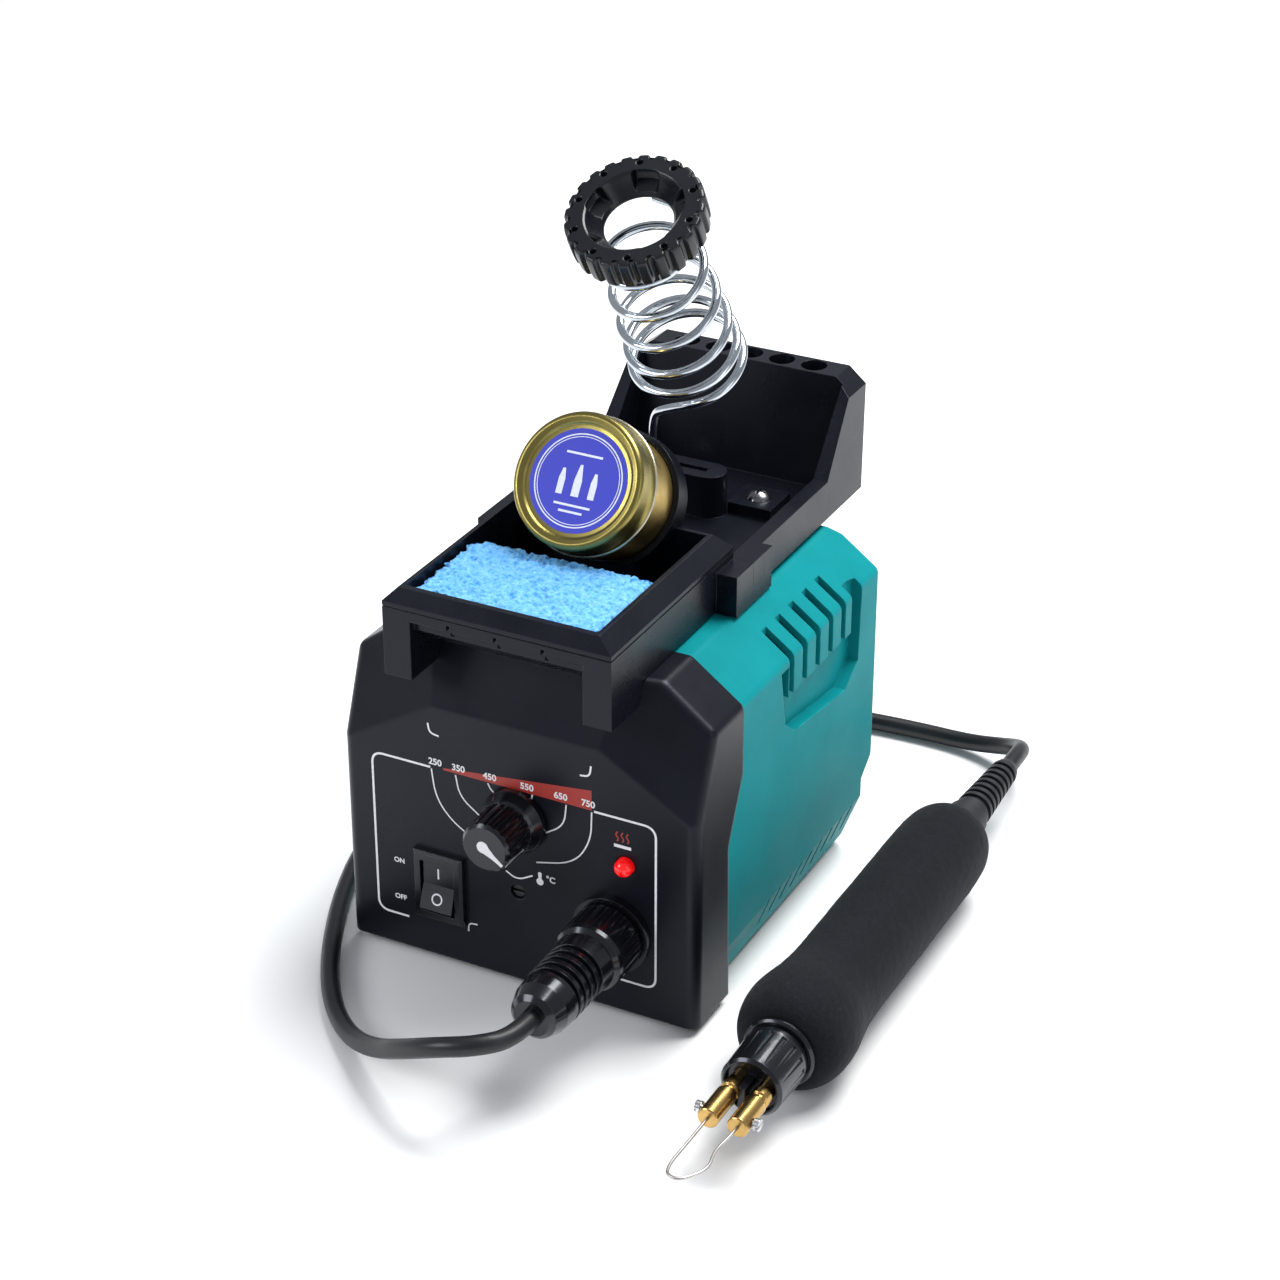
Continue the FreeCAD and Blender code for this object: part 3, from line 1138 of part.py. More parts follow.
def tip_wire():
    """Bent heating wire, a blade-like loop between the two terminals."""
    face = NUT_FACE - TERMINAL_OUT
    half = TERMINAL_SPACING / 2
    points = [(-half, face + 7.5), (-half, face - 8), (-half - 0.3, face - 22.5),
              (-half + 3.2, face - 24.4), (1.6, face - 22.8)]
    points += [(half + 0.9, face - 17.2), (half - 0.9, face - 10.6), (half, face - 3.8),
               (half, face + 7.5)]
    route = [V(PEN_X + x, y, PEN_Z) for x, y in points]
    solid, radii, length = tube(route, TIP_WIRE_R)
    print("tip wire: length", round(length, 1), "smallest bend", round(min(radii), 2))
    return solid


def pen_collar():
    """Cap behind the foam that closes the pen."""
    profile = [(0, 0), (0, PEN_COLLAR_R), (PEN_COLLAR_LEN - 1, PEN_COLLAR_R - 0.4),
               (PEN_COLLAR_LEN, PEN_COLLAR_R - 1.4), (PEN_COLLAR_LEN, 0)]
    cap = turned(profile, pen_axis(GRIP_REAR_Y), BACK)
    return cap.cut(rod(pen_axis(GRIP_REAR_Y - 1), BACK, 4.2, 20))


def pen_boot():
    """Ribbed strain relief of the cord, tapering away from the pen."""
    start = GRIP_REAR_Y + 1.0
    length = BOOT_LEN + PEN_COLLAR_LEN - 1.0
    base = 4.2
    profile = [(0, 0), (0, base), (PEN_COLLAR_LEN - 1.0, base), (PEN_COLLAR_LEN - 1.0, BOOT_R),
               (PEN_COLLAR_LEN + 1.5, BOOT_R)]
    ribs = 8
    step = (BOOT_LEN - 5) / ribs
    for number in range(ribs):
        at = PEN_COLLAR_LEN + 2.0 + number * step
        r = BOOT_R - 0.17 * number
        profile += [(at, r - 0.9), (at + step * 0.45, r - 0.9), (at + step * 0.45, r),
                    (at + step * 0.95, r - 0.1)]
    profile += [(length, BOOT_R - 1.9), (length, 0)]
    return turned(profile, pen_axis(start), BACK)


# ---- cord ----


def tool_cord():
    """The pen's cord, from the plug round the left side and behind the case."""
    points = [V(*point) for point in CORD_ROUTE]
    solid, radii, length = tube(points, CORD_R)
    print("tool cord: length", round(length, 1), "bend radii", [round(radius, 1) for radius in radii])
    print("tool cord: volume", round(solid.Volume, 1), "section x length",
          round(math.pi * CORD_R ** 2 * length, 1))
    return solid


# ---- mains inlet ----


def mains_inlet():
    """Rear inlet with a flange, a room for the mains connector and a fuse drawer slot."""
    flange = box(-25, 25, INLET_REAR, INLET_REAR + INLET_FLANGE_T, INLET_Z - INLET_H / 2 - 1.8,
                 INLET_Z + INLET_H / 2 + 1.8)
    upright = [edge for edge in flange.Edges if edge.BoundBox.YLength > 2]
    flange = flange.makeFillet(5, upright)
    body = box(-INLET_W / 2, INLET_W / 2, INLET_REAR - INLET_DEPTH, INLET_REAR + 1,
               INLET_Z - INLET_H / 2, INLET_Z + INLET_H / 2)
    whole = union([flange, body])
    half = SOCKET_ROOM_W / 2
    top = SOCKET_ROOM_Z + SOCKET_ROOM_H
    room = prism([(-half, SOCKET_ROOM_Z), (half, SOCKET_ROOM_Z), (half, top - 5), (half - 5, top),
                  (-half + 5, top), (-half, top - 5)],
                 "y", INLET_REAR - 15, INLET_REAR + 20)
    slot = box(-DRAWER_W / 2 - 0.2, DRAWER_W / 2 + 0.2, INLET_REAR - DRAWER_DEPTH - 0.5, INLET_REAR + 20,
               DRAWER_Z - 0.2, DRAWER_Z + DRAWER_H + 0.2)
    holes = [rod(V(s * INLET_EAR_X, INLET_REAR - 2, INLET_Z), BACK, SCREW_R + 0.05, 10) for s in (-1, 1)]
    return whole.cut(Part.makeCompound([room, slot] + holes))


def inlet_pins():
    """Three brass blades inside the inlet."""
    middle = SOCKET_ROOM_Z + SOCKET_ROOM_H / 2
    blades = []
    for x, z in ((-7, middle - 2.0), (7, middle - 2.0), (0, middle + 2.0)):
        blades.append(box(x - 1, x + 1, INLET_REAR - 15, INLET_REAR - 2.5, z - 2, z + 2))
    return group(blades)


def fuse_drawer():
    """Pull-out drawer that holds the fuse below the mains connector."""
    body = box(-DRAWER_W / 2, DRAWER_W / 2, INLET_REAR - DRAWER_DEPTH, INLET_REAR + INLET_FLANGE_T + 0.6,
               DRAWER_Z, DRAWER_Z + DRAWER_H)
    bed = box(-DRAWER_W / 2 + 0.9, -DRAWER_W / 2 + 0.9 + 20.2, INLET_REAR - 12, INLET_REAR - 6.4,
              DRAWER_Z + 1.6, DRAWER_Z + 20)
    grip = box(-4, 4, INLET_REAR + INLET_FLANGE_T - 0.4, INLET_REAR + 20, DRAWER_Z + 5.4, DRAWER_Z + 20)
    return body.cut(bed).cut(grip)


def fuse():
    """Glass fuse with metal caps, lying across the drawer."""
    return rod(V(-DRAWER_W / 2 + 1.0, INLET_REAR - 9.2, DRAWER_Z + 4.3), RIGHT, 2.6, 20.0)


def inlet_screws():
    """Two screws through the inlet's ears."""
    return group([headed_screw(V(s * INLET_EAR_X, INLET_REAR + INLET_FLANGE_T, INLET_Z), V(0, -1, 0), 9,
                               BOLT_HEAD_R, 1.6) for s in (-1, 1)])


PIECES = {
    "front_cover": front_cover, "rear_shell": rear_shell, "base_plate": base_plate,
    "rubber_feet": rubber_feet, "case_screws": case_screws, "transformer_core": transformer_core, "transformer_coil": transformer_coil,
    "control_board": control_board, "board_components": board_parts, "board_screws": board_screws,
    "pot_body": pot_body, "pot_shaft": pot_shaft, "temperature_knob": knob,
    "switch_housing": switch_housing, "switch_rocker": switch_rocker,
    "trimmer_body": trimmer_body, "trimmer_rotor": trimmer_rotor, "indicator_lamp": indicator_lamp,
    "tool_socket": tool_socket, "socket_nut": socket_nut, "plug_core": plug_core, "plug_ring": plug_ring,
    "plug_boot": plug_boot, "holder_tray": holder_tray, "tray_bed": tray_bed, "tip_rack": tip_rack,
    "tin_cup": tin_cup, "tray_screws": tray_screws, "sponge": sponge, "tips_tin": tips_tin,
    "tin_lid": tin_lid, "wire_stand": wire_stand, "stand_collar": stand_collar,
    "pen_grip": pen_grip, "pen_barrel": pen_barrel, "nose_nut": nose_nut, "terminal_block": terminal_block,
    "terminal_left": lambda: terminal(-1), "terminal_right": lambda: terminal(1),
    "terminal_screw_left": lambda: terminal_screw(-1), "terminal_screw_right": lambda: terminal_screw(1),
    "tip_wire": tip_wire, "pen_collar": pen_collar, "pen_boot": pen_boot, "tool_cord": tool_cord,
    "mains_inlet": mains_inlet, "inlet_pins": inlet_pins, "fuse_drawer": fuse_drawer, "fuse": fuse,
    "inlet_screws": inlet_screws,
}

for node, make in PIECES.items():
    save(node, make())
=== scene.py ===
import math

import bmesh
import bpy
import numpy as np
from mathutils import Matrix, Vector


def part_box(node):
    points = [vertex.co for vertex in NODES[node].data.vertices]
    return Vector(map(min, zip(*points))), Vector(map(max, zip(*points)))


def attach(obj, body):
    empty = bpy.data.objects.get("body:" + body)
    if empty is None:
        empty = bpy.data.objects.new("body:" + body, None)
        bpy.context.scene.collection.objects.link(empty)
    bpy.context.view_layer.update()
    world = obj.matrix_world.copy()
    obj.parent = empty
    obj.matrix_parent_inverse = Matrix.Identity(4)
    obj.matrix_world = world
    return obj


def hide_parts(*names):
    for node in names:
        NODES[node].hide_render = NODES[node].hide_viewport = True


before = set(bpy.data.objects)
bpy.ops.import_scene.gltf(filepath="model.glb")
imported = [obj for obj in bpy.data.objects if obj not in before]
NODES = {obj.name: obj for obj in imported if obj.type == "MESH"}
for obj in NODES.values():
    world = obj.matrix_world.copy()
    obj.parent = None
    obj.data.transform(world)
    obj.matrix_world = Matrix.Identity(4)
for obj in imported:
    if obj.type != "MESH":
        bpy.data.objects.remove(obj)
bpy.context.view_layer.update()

# ---- sizes in metres ----
PANEL_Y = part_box("front_cover")[0].y
PRINT = 0.00006                      # thickness of printed ink
X = np.array([1.0, 0.0, 0.0])
Y = np.array([0.0, 1.0, 0.0])
Z = np.array([0.0, 0.0, 1.0])


def mm(*values):
    """Millimetres as an array of metres."""
    return np.array(values, float) / 1000.0


# ---- camera, lights and world ----
def look(obj, target):
    """Turn an object so that it faces a point."""
    obj.rotation_euler = (Vector(target) - obj.location).to_track_quat("-Z", "Y").to_euler()


camera_data = bpy.data.cameras.new("camera")
camera_data.lens = 85.03
camera_data.sensor_width = 36.0
camera_data.clip_start = 0.01
camera_data.clip_end = 50.0
camera = bpy.data.objects.new("camera", camera_data)
bpy.context.scene.collection.objects.link(camera)
camera.location = (0.3354, -0.6352, 0.4653)
look(camera, (0.03615, -0.0575, 0.11413))
bpy.context.scene.camera = camera
bpy.context.scene.view_settings.view_transform = "Standard"


def softbox(name, location, target, width, depth, power, tint=(1.0, 1.0, 1.0)):
    """A soft rectangular studio light aimed at a point."""
    light = bpy.data.lights.new(name, "AREA")
    light.shape = "RECTANGLE"
    light.size = width
    light.size_y = depth
    light.energy = power
    light.color = tint
    obj = bpy.data.objects.new(name, light)
    bpy.context.scene.collection.objects.link(obj)
    obj.location = location
    look(obj, target)


softbox("key_light", (0.25, 0.45, 1.1), (0.0, 0.0, 0.06), 0.8, 0.6, 22.0, (1.0, 0.99, 0.97))
softbox("front_light", (-0.85, -0.85, 0.75), (0.0, 0.0, 0.06), 0.7, 0.5, 8.0, (0.97, 0.98, 1.0))
softbox("side_light", (1.0, -0.3, 0.45), (0.05, 0.0, 0.05), 0.35, 0.7, 1.0)

world = bpy.data.worlds.new("studio")
world.use_nodes = True
world.node_tree.nodes["Background"].inputs["Color"].default_value = (0.90, 0.94, 1.0, 1.0)
world.node_tree.nodes["Background"].inputs["Strength"].default_value = 0.42
bpy.context.scene.world = world


# ---- materials ----
class Finish:
    """A material being built: its shader, and short calls that add and join nodes."""

    def __init__(self, name, roughness=0.5, metallic=0.0, coat=0.0, sheen=0.0, specular=0.5):
        self.material = bpy.data.materials.new(name)
        self.material.use_nodes = True
        self.tree = self.material.node_tree
        self.shader = self.tree.nodes["Principled BSDF"]
        self.set("Roughness", roughness)
        self.set("Metallic", metallic)
        self.set("Coat Weight", coat)
        self.set("Coat Roughness", 0.12)
        self.set("Sheen Weight", sheen)
        self.set("Specular IOR Level", specular)
        self.place = self.node("ShaderNodeTexCoord").outputs["Object"]

    def set(self, socket, value):
        self.shader.inputs[socket].default_value = value

    def node(self, kind, **values):
        made = self.tree.nodes.new(kind)
        for key, value in values.items():
            setattr(made, key, value)
        return made

    def join(self, source, target):
        self.tree.links.new(source, target)

    def noise(self, size, detail=4.0, stretch=(1.0, 1.0, 1.0), rough=0.55):
        """Cloudy noise whose features are about size metres across, longer along a stretched axis."""
        mapping = self.node("ShaderNodeMapping")
        mapping.inputs["Scale"].default_value = stretch
        self.join(self.place, mapping.inputs["Vector"])
        made = self.node("ShaderNodeTexNoise")
        made.inputs["Scale"].default_value = 1.0 / size
        made.inputs["Detail"].default_value = detail
        made.inputs["Roughness"].default_value = rough
        self.join(mapping.outputs["Vector"], made.inputs["Vector"])
        return made.outputs["Fac"]

    def cells(self, size):
        """Cell noise with cells about size metres across."""
        made = self.node("ShaderNodeTexVoronoi", feature="F1")
        made.inputs["Scale"].default_value = 1.0 / size
        self.join(self.place, made.inputs["Vector"])
        return made.outputs["Distance"]

    def ramp(self, source, *stops):
        """Colours along a value: stops are (value, colour)."""
        made = self.node("ShaderNodeValToRGB")
        points = made.color_ramp.elements
        while len(points) < len(stops):
            points.new(0.5)
        for point, (at, colour) in zip(points, stops):
            point.position = at
            point.color = (*colour, 1.0)
        self.join(source, made.inputs["Fac"])
        return made.outputs["Color"]

    def span(self, source, low, high, start=0.0, end=1.0):
        """A value spread from start..end onto low..high."""
        made = self.node("ShaderNodeMapRange")
        for socket, value in (("From Min", start), ("From Max", end), ("To Min", low), ("To Max", high)):
            made.inputs[socket].default_value = value
        self.join(source, made.inputs["Value"])
        return made.outputs["Result"]

    def blend(self, factor, first, second, kind="MIX"):
        """Two colours mixed by a factor."""
        made = self.node("ShaderNodeMix", data_type="RGBA", blend_type=kind)
        for source, target in ((factor, made.inputs[0]), (first, made.inputs[6]), (second, made.inputs[7])):
            if isinstance(source, tuple):
                target.default_value = (*source, 1.0)
            elif isinstance(source, float):
                target.default_value = source
            else:
                self.join(source, target)
        return made.outputs[2]

    def relief(self, source, depth, before=None):
        """Bumps of a depth in metres, over an earlier normal."""
        made = self.node("ShaderNodeBump")
        made.inputs["Distance"].default_value = depth
        self.join(source, made.inputs["Height"])
        if before is not None:
            self.join(before, made.inputs["Normal"])
        return made.outputs["Normal"]

    def soft_edges(self, radius):
        """Normals that round the hard edges, and how close a point is to such an edge."""
        bevel = self.node("ShaderNodeBevel", samples=6)
        bevel.inputs["Radius"].default_value = radius
        geometry = self.node("ShaderNodeNewGeometry")
        dot = self.node("ShaderNodeVectorMath", operation="DOT_PRODUCT")
        self.join(bevel.outputs["Normal"], dot.inputs[0])
        self.join(geometry.outputs["Normal"], dot.inputs[1])
        return bevel.outputs["Normal"], self.span(dot.outputs["Value"], 1.0, 0.0, 0.86, 0.995)

    def done(self, colour, normal=None, roughness=None):
        """Join the worked-out colour, roughness and normal to the shader."""
        self.join(colour, self.shader.inputs["Base Color"])
        if roughness is not None:
            self.join(roughness, self.shader.inputs["Roughness"])
        if normal is not None:
            self.join(normal, self.shader.inputs["Normal"])
        return self.material


def scaled(colour, factor):
    """A colour made lighter or darker."""
    return tuple(min(1.0, part * factor) for part in colour)


def moulded(name, colour, worn, rough, spread, grain, depth, edge=0.0004, coat=0.0, mottle=0.12, specular=0.5,
            tint=(1.0, 1.0, 1.0)):
    """Moulded plastic: faint flow mottling, a fine spark-eroded grain and lighter, smoother edges."""
    f = Finish(name, coat=coat, specular=specular)
    f.set("Specular Tint", (*tint, 1.0))
    flow = f.noise(0.016, 3.0)
    body = f.ramp(flow, (0.3, scaled(colour, 1 - mottle)), (0.7, scaled(colour, 1 + mottle)))
    rounded, near = f.soft_edges(edge)
    rubbed = f.noise(0.004, 5.0)
    patchy = f.span(rubbed, 0.0, 1.0, 0.42, 0.62)
    mask = f.node("ShaderNodeMath", operation="MULTIPLY")
    f.join(near, mask.inputs[0])
    f.join(patchy, mask.inputs[1])
    body = f.blend(mask.outputs[0], body, worn)
    fine = f.noise(grain, 2.0)
    normal = f.relief(fine, depth, rounded)
    handled = f.noise(0.022, 6.0)
    return f.done(body, normal, f.span(handled, rough - spread, rough + spread, 0.3, 0.7))


def metal(name, colour, dull, rough, spread, stretch=(1.0, 1.0, 1.0), grain=0.0006, depth=0.00001, edge=0.0002):
    """Bare or plated metal: drawn or turned streaks, and a duller film in patches."""
    f = Finish(name, metallic=1.0)
    film = f.noise(0.006, 6.0)
    streaks = f.noise(grain, 3.0, stretch)
    body = f.ramp(film, (0.35, colour), (0.75, dull))
    normal = f.relief(streaks, depth, f.soft_edges(edge)[0])
    return f.done(body, normal, f.span(film, rough, rough + spread, 0.35, 0.75))


def ink(name, colour, rough=0.5):
    """Screen-printed ink: slightly uneven cover with a fine dry grain."""
    f = Finish(name)
    cover = f.noise(0.0008, 4.0)
    body = f.ramp(cover, (0.3, scaled(colour, 0.86)), (0.65, colour))
    return f.done(body, f.relief(cover, 0.00001), f.span(cover, rough - 0.08, rough + 0.08))


def foam(name):
    """Closed-cell foam: fine cells and chalky lighter specks on a dull near black."""
    f = Finish(name, sheen=0.04, specular=0.12)
    f.set("Specular Tint", (0.72, 0.80, 1.0, 1.0))
    cells = f.cells(0.00042)
    specks = f.noise(0.0010, 6.0)
    body = f.ramp(specks, (0.3, (0.0060, 0.0062, 0.0078)), (0.62, (0.0100, 0.0102, 0.0125)),
                  (0.85, (0.021, 0.021, 0.025)))
    pits = f.relief(cells, 0.00009)
    soft = f.noise(0.007, 3.0)
    return f.done(body, f.relief(soft, 0.00010, pits), f.span(specks, 0.72, 0.9))


def sponge_finish(name):
    """Dry cellulose sponge: pale blue fibre, dots of deeper blue as painted shade in the small pores, and stray
    pale threads.
    """
    f = Finish(name, sheen=0.2, specular=0.15)
    tufts = f.noise(0.0013, 8.0, rough=0.65)
    body = f.ramp(tufts, (0.34, (0.055, 0.27, 0.70)), (0.46, (0.13, 0.45, 0.88)), (0.6, (0.21, 0.56, 0.95)),
                  (0.76, (0.40, 0.72, 1.0)))
    # painted shade: small dots of deeper blue stand for the shade inside the sponge's pores
    pores = f.cells(0.0019)
    body = f.blend(f.span(pores, 0.5, 0.0, 0.06, 0.24), body, (0.05, 0.27, 0.70))
    threads = f.noise(0.0005, 4.0, (1.0, 0.35, 1.0))
    normal = f.relief(threads, 0.0003)
    return f.done(body, f.relief(tufts, 0.0006, normal), f.span(tufts, 0.85, 1.0))


def lamp_finish(name):
    """Lit lens: saturated red that glows more at its heart."""
    f = Finish(name, roughness=0.18, coat=0.25)
    heart = f.noise(0.0016, 2.0)
    body = f.ramp(heart, (0.35, (0.75, 0.0, 0.002)), (0.7, (1.0, 0.012, 0.012)))
    f.join(body, f.shader.inputs["Emission Color"])
    f.set("Emission Strength", 0.45)
    return f.done(body, None, f.span(heart, 0.12, 0.25))


def floor_finish(name):
    """Plain pale studio floor with the faintest mottle."""
    f = Finish(name, specular=0.2)
    cloud = f.noise(0.4, 3.0)
    return f.done(f.ramp(cloud, (0.3, (0.90, 0.905, 0.915)), (0.7, (0.92, 0.925, 0.93))), None,
                  f.span(cloud, 0.7, 0.8))


def cord_finish(name):
    """Soft rubber sheath: satin black with slow waves of bloom and a faint draw grain."""
    f = Finish(name, coat=0.1, specular=0.35)
    bloom = f.noise(0.02, 4.0)
    fine = f.noise(0.0007, 3.0)
    body = f.ramp(bloom, (0.3, (0.0055, 0.0060, 0.0080)), (0.75, (0.0095, 0.0100, 0.0125)))
    return f.done(body, f.relief(fine, 0.00004), f.span(bloom, 0.34, 0.5, 0.3, 0.7))


COOL = (0.82, 0.87, 1.0)             # cool tint of the gloss on black plastic
BLACK = (0.0052, 0.0058, 0.0096)
WORN_BLACK = (0.016, 0.018, 0.026)
TEAL = (0.004, 0.228, 0.252)
cover_black = moulded("cover_black", BLACK, WORN_BLACK, 0.32, 0.06, 0.0005, 0.00002, 0.0010, specular=0.22,
                      tint=COOL)
shell_teal = moulded("shell_teal", TEAL, (0.03, 0.34, 0.35), 0.45, 0.06, 0.0006, 0.00003, 0.0005, mottle=0.07,
                     specular=0.05)
tray_black = moulded("tray_black", (0.0045, 0.0055, 0.0090), (0.018, 0.020, 0.027), 0.28, 0.07, 0.0005,
                     0.00002, 0.0003, specular=0.24, tint=COOL)
collar_black = moulded("collar_black", (0.0045, 0.0055, 0.0088), (0.020, 0.021, 0.027), 0.26, 0.06, 0.0006,
                       0.00002, 0.0003, specular=0.4)
gloss_black = moulded("gloss_black", (0.005, 0.005, 0.0065), (0.014, 0.014, 0.018), 0.2, 0.05, 0.0007,
                      0.00001, 0.0003, 0.25, specular=0.4, tint=COOL)
base_black = moulded("base_black", (0.012, 0.012, 0.013), WORN_BLACK, 0.55, 0.06, 0.0006, 0.00005)
soft_rubber = moulded("soft_rubber", (0.014, 0.015, 0.018), (0.026, 0.026, 0.030), 0.5, 0.08, 0.0008, 0.00004,
                      specular=0.3)
board_green = moulded("board_green", (0.012, 0.11, 0.035), (0.3, 0.25, 0.1), 0.3, 0.06, 0.002, 0.00003, 0.0002)
coil_tape = moulded("coil_tape", (0.55, 0.36, 0.06), (0.7, 0.5, 0.15), 0.4, 0.1, 0.003, 0.0001)
core_steel = metal("core_steel", (0.16, 0.15, 0.15), (0.08, 0.07, 0.07), 0.45, 0.2, (1.0, 12.0, 1.0))
plated = metal("plated_steel", (0.62, 0.62, 0.64), (0.42, 0.42, 0.44), 0.22, 0.2)
black_oxide = metal("black_oxide", (0.22, 0.22, 0.24), (0.11, 0.11, 0.125), 0.2, 0.14)
chrome = metal("chrome_wire", (0.62, 0.66, 0.70), (0.46, 0.50, 0.55), 0.06, 0.07, grain=0.002)
tin_side = metal("gold_tin_side", (0.62, 0.45, 0.16), (0.46, 0.33, 0.11), 0.34, 0.14, grain=0.0012)
tinplate = metal("gold_tinplate", (0.30, 0.250, 0.075), (0.22, 0.182, 0.058), 0.26, 0.12, grain=0.0012)
# paler metal for the lid's rolled edge: a painted highlight line along the curl
tin_edge_highlight = metal("tin_edge_highlight", (0.66, 0.63, 0.50), (0.5, 0.46, 0.34), 0.25, 0.15)
brass = metal("turned_brass", (0.60, 0.39, 0.14), (0.40, 0.25, 0.08), 0.18, 0.16)
heated_wire = metal("heated_wire", (0.50, 0.48, 0.47), (0.30, 0.27, 0.26), 0.28, 0.2, grain=0.001)
glass_clear = moulded("fuse_glass", (0.55, 0.58, 0.58), (0.8, 0.8, 0.8), 0.12, 0.04, 0.002, 0.00001, coat=0.5)
white_ink = ink("white_ink", (0.78, 0.79, 0.82))
red_ink = ink("red_ink", (0.36, 0.028, 0.02))
label_blue = ink("label_blue", (0.022, 0.034, 0.56), 0.5)
label_white = ink("label_white", (0.80, 0.83, 0.95), 0.35)
grip_foam = foam("grip_foam")
sponge_blue = sponge_finish("sponge_blue")
lamp_red = lamp_finish("lamp_red")
cord_black = cord_finish("cord_black")

CAD_FINISHES = {
    "front_cover": cover_black, "rear_shell": shell_teal, "base_plate": base_black, "rubber_feet": soft_rubber,
    "case_screws": plated, "transformer_core": core_steel, "transformer_coil": coil_tape,
    "control_board": board_green, "board_components": base_black, "board_screws": plated,
    "pot_body": plated, "pot_shaft": plated, "temperature_knob": gloss_black, "switch_housing": gloss_black,
    "switch_rocker": gloss_black, "trimmer_body": base_black, "trimmer_rotor": base_black,
    "indicator_lamp": lamp_red, "tool_socket": gloss_black, "socket_nut": plated, "plug_core": gloss_black,
    "plug_ring": gloss_black, "plug_boot": gloss_black, "holder_tray": tray_black, "tray_bed": tray_black,
    "tip_rack": tray_black, "tin_cup": tray_black, "tray_screws": black_oxide, "sponge": sponge_blue,
    "tips_tin": tinplate, "tin_lid": tinplate, "wire_stand": chrome, "stand_collar": cover_black,
    "pen_grip": grip_foam, "pen_barrel": gloss_black, "nose_nut": gloss_black, "terminal_block": gloss_black,
    "terminal_left": brass, "terminal_right": brass, "terminal_screw_left": plated,
    "terminal_screw_right": plated, "tip_wire": heated_wire, "pen_collar": soft_rubber, "pen_boot": soft_rubber,
    "tool_cord": cord_black, "mains_inlet": base_black, "inlet_pins": brass, "fuse_drawer": base_black,
    "fuse": glass_clear, "inlet_screws": black_oxide,
}
for node_name, node_object in NODES.items():
    if not node_object.material_slots:
        node_object.data.materials.append(None)
    for material_slot in node_object.material_slots:
        material_slot.material = CAD_FINISHES[node_name]


# ---- surfaces ----
def surface(name, rows, material, body, smooth=True, angle=35.0):
    """A closed skin from a grid of points: point (i, j) joins (i + 1, j) and (i, j + 1), and each row closes on
    itself. Doubled points, such as those of a pole, are welded, and the faces are turned outward."""
    count, width = rows.shape[:2]
    number = np.arange(count * width).reshape(count, width)
    number = np.concatenate([number, number[:, :1]], axis=1)
    corners = [number[:-1, :-1], number[:-1, 1:], number[1:, 1:], number[1:, :-1]]
    faces = np.stack(corners, axis=-1).reshape(-1, 4)
    mesh = bpy.data.meshes.new(name)
    mesh.from_pydata(rows.reshape(-1, 3).tolist(), [], faces.tolist())
    welded = bmesh.new()
    welded.from_mesh(mesh)
    bmesh.ops.remove_doubles(welded, verts=welded.verts, dist=2e-6)
    bmesh.ops.recalc_face_normals(welded, faces=welded.faces)
    welded.to_mesh(mesh)
    welded.free()
    mesh.materials.append(material)
    obj = bpy.data.objects.new(name, mesh)
    bpy.context.scene.collection.objects.link(obj)
    if smooth:
        mesh.shade_smooth()
        mesh.set_sharp_from_angle(angle=math.radians(angle))
    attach(obj, body)
    return obj


def eased(points, rounds=3, closed=False):
    """Corners cut again and again: each run from p to q gives 3/4 p + 1/4 q and 1/4 p + 3/4 q. This tends to a
    smooth quadratic curve."""
    points = np.asarray(points, float)
    for _ in range(rounds):
        after = np.roll(points, -1, axis=0) if closed else points[1:]
        before = points if closed else points[:-1]
        cut = np.stack([0.75 * before + 0.25 * after, 0.25 * before + 0.75 * after], axis=1)
        cut = cut.reshape(-1, points.shape[1])
        points = cut if closed else np.concatenate([points[:1], cut, points[-1:]])
    return points


def turned(name, profile, origin, axis, material, body, sides=128, angle=35.0):
    """A profile of (along, radius) carried round an axis: point = origin + axis * along + (u cos t + v sin t) *
    radius, for two directions u and v square to the axis."""
    profile = np.asarray(profile, float)
    axis = np.asarray(axis, float) / np.linalg.norm(axis)
    across = np.cross(axis, Z if abs(axis[2]) < 0.9 else X)
    across /= np.linalg.norm(across)
    upright = np.cross(axis, across)
    turn = np.linspace(0, 2 * np.pi, sides, endpoint=False)
    ring = np.cos(turn)[:, None] * across + np.sin(turn)[:, None] * upright
    rows = origin + profile[:, None, :1] * axis + profile[:, None, 1:] * ring[None]
    return surface(name, rows, material, body, angle=angle)


def wire(name, path, radius, reference, material, body, sides=20):
    """A round wire: point = path + radius * (u cos t + v sin t), where u and v are square to the path and u
    leans to a reference direction. Both ends are closed."""
    path = np.asarray(path, float)
    tangent = np.gradient(path, axis=0)
    tangent /= np.linalg.norm(tangent, axis=1, keepdims=True)
    first = reference - (tangent @ reference)[:, None] * tangent
    first /= np.linalg.norm(first, axis=1, keepdims=True)
    second = np.cross(tangent, first)
    turn = np.linspace(0, 2 * np.pi, sides, endpoint=False)
    ring = np.cos(turn)[None, :, None] * first[:, None] + np.sin(turn)[None, :, None] * second[:, None]
    rows = path[:, None] + radius * ring
    caps = [path[:1, None] + 0 * rows[:1], path[:1, None] + 0.6 * radius * ring[:1]]
    ends = [path[-1:, None] + 0.6 * radius * ring[-1:], path[-1:, None] + 0 * rows[:1]]
    return surface(name, np.concatenate(caps + [rows] + ends), material, body, angle=60.0)


def waves(points, size, count, seed):
    """Smooth random height at points: the sum of sin(k . p + shift) over random directions k, with waves about
    size metres long, divided by the root of half their count."""
    rng = np.random.default_rng(seed)
    direction = rng.normal(size=(count, 3))
    direction /= np.linalg.norm(direction, axis=1, keepdims=True)
    pace = 2 * np.pi / (size * rng.uniform(0.6, 1.6, count))
    shift = rng.uniform(0, 2 * np.pi, count)
    return np.sin(points @ (direction * pace[:, None]).T + shift).sum(axis=-1) / math.sqrt(count / 2)


# ---- ink and thin plates ----
def on_panel(a, b, h):
    """Panel coordinates in metres, a to the right, b up, h out of the panel."""
    return np.stack([a, PANEL_Y - h, b], axis=-1)


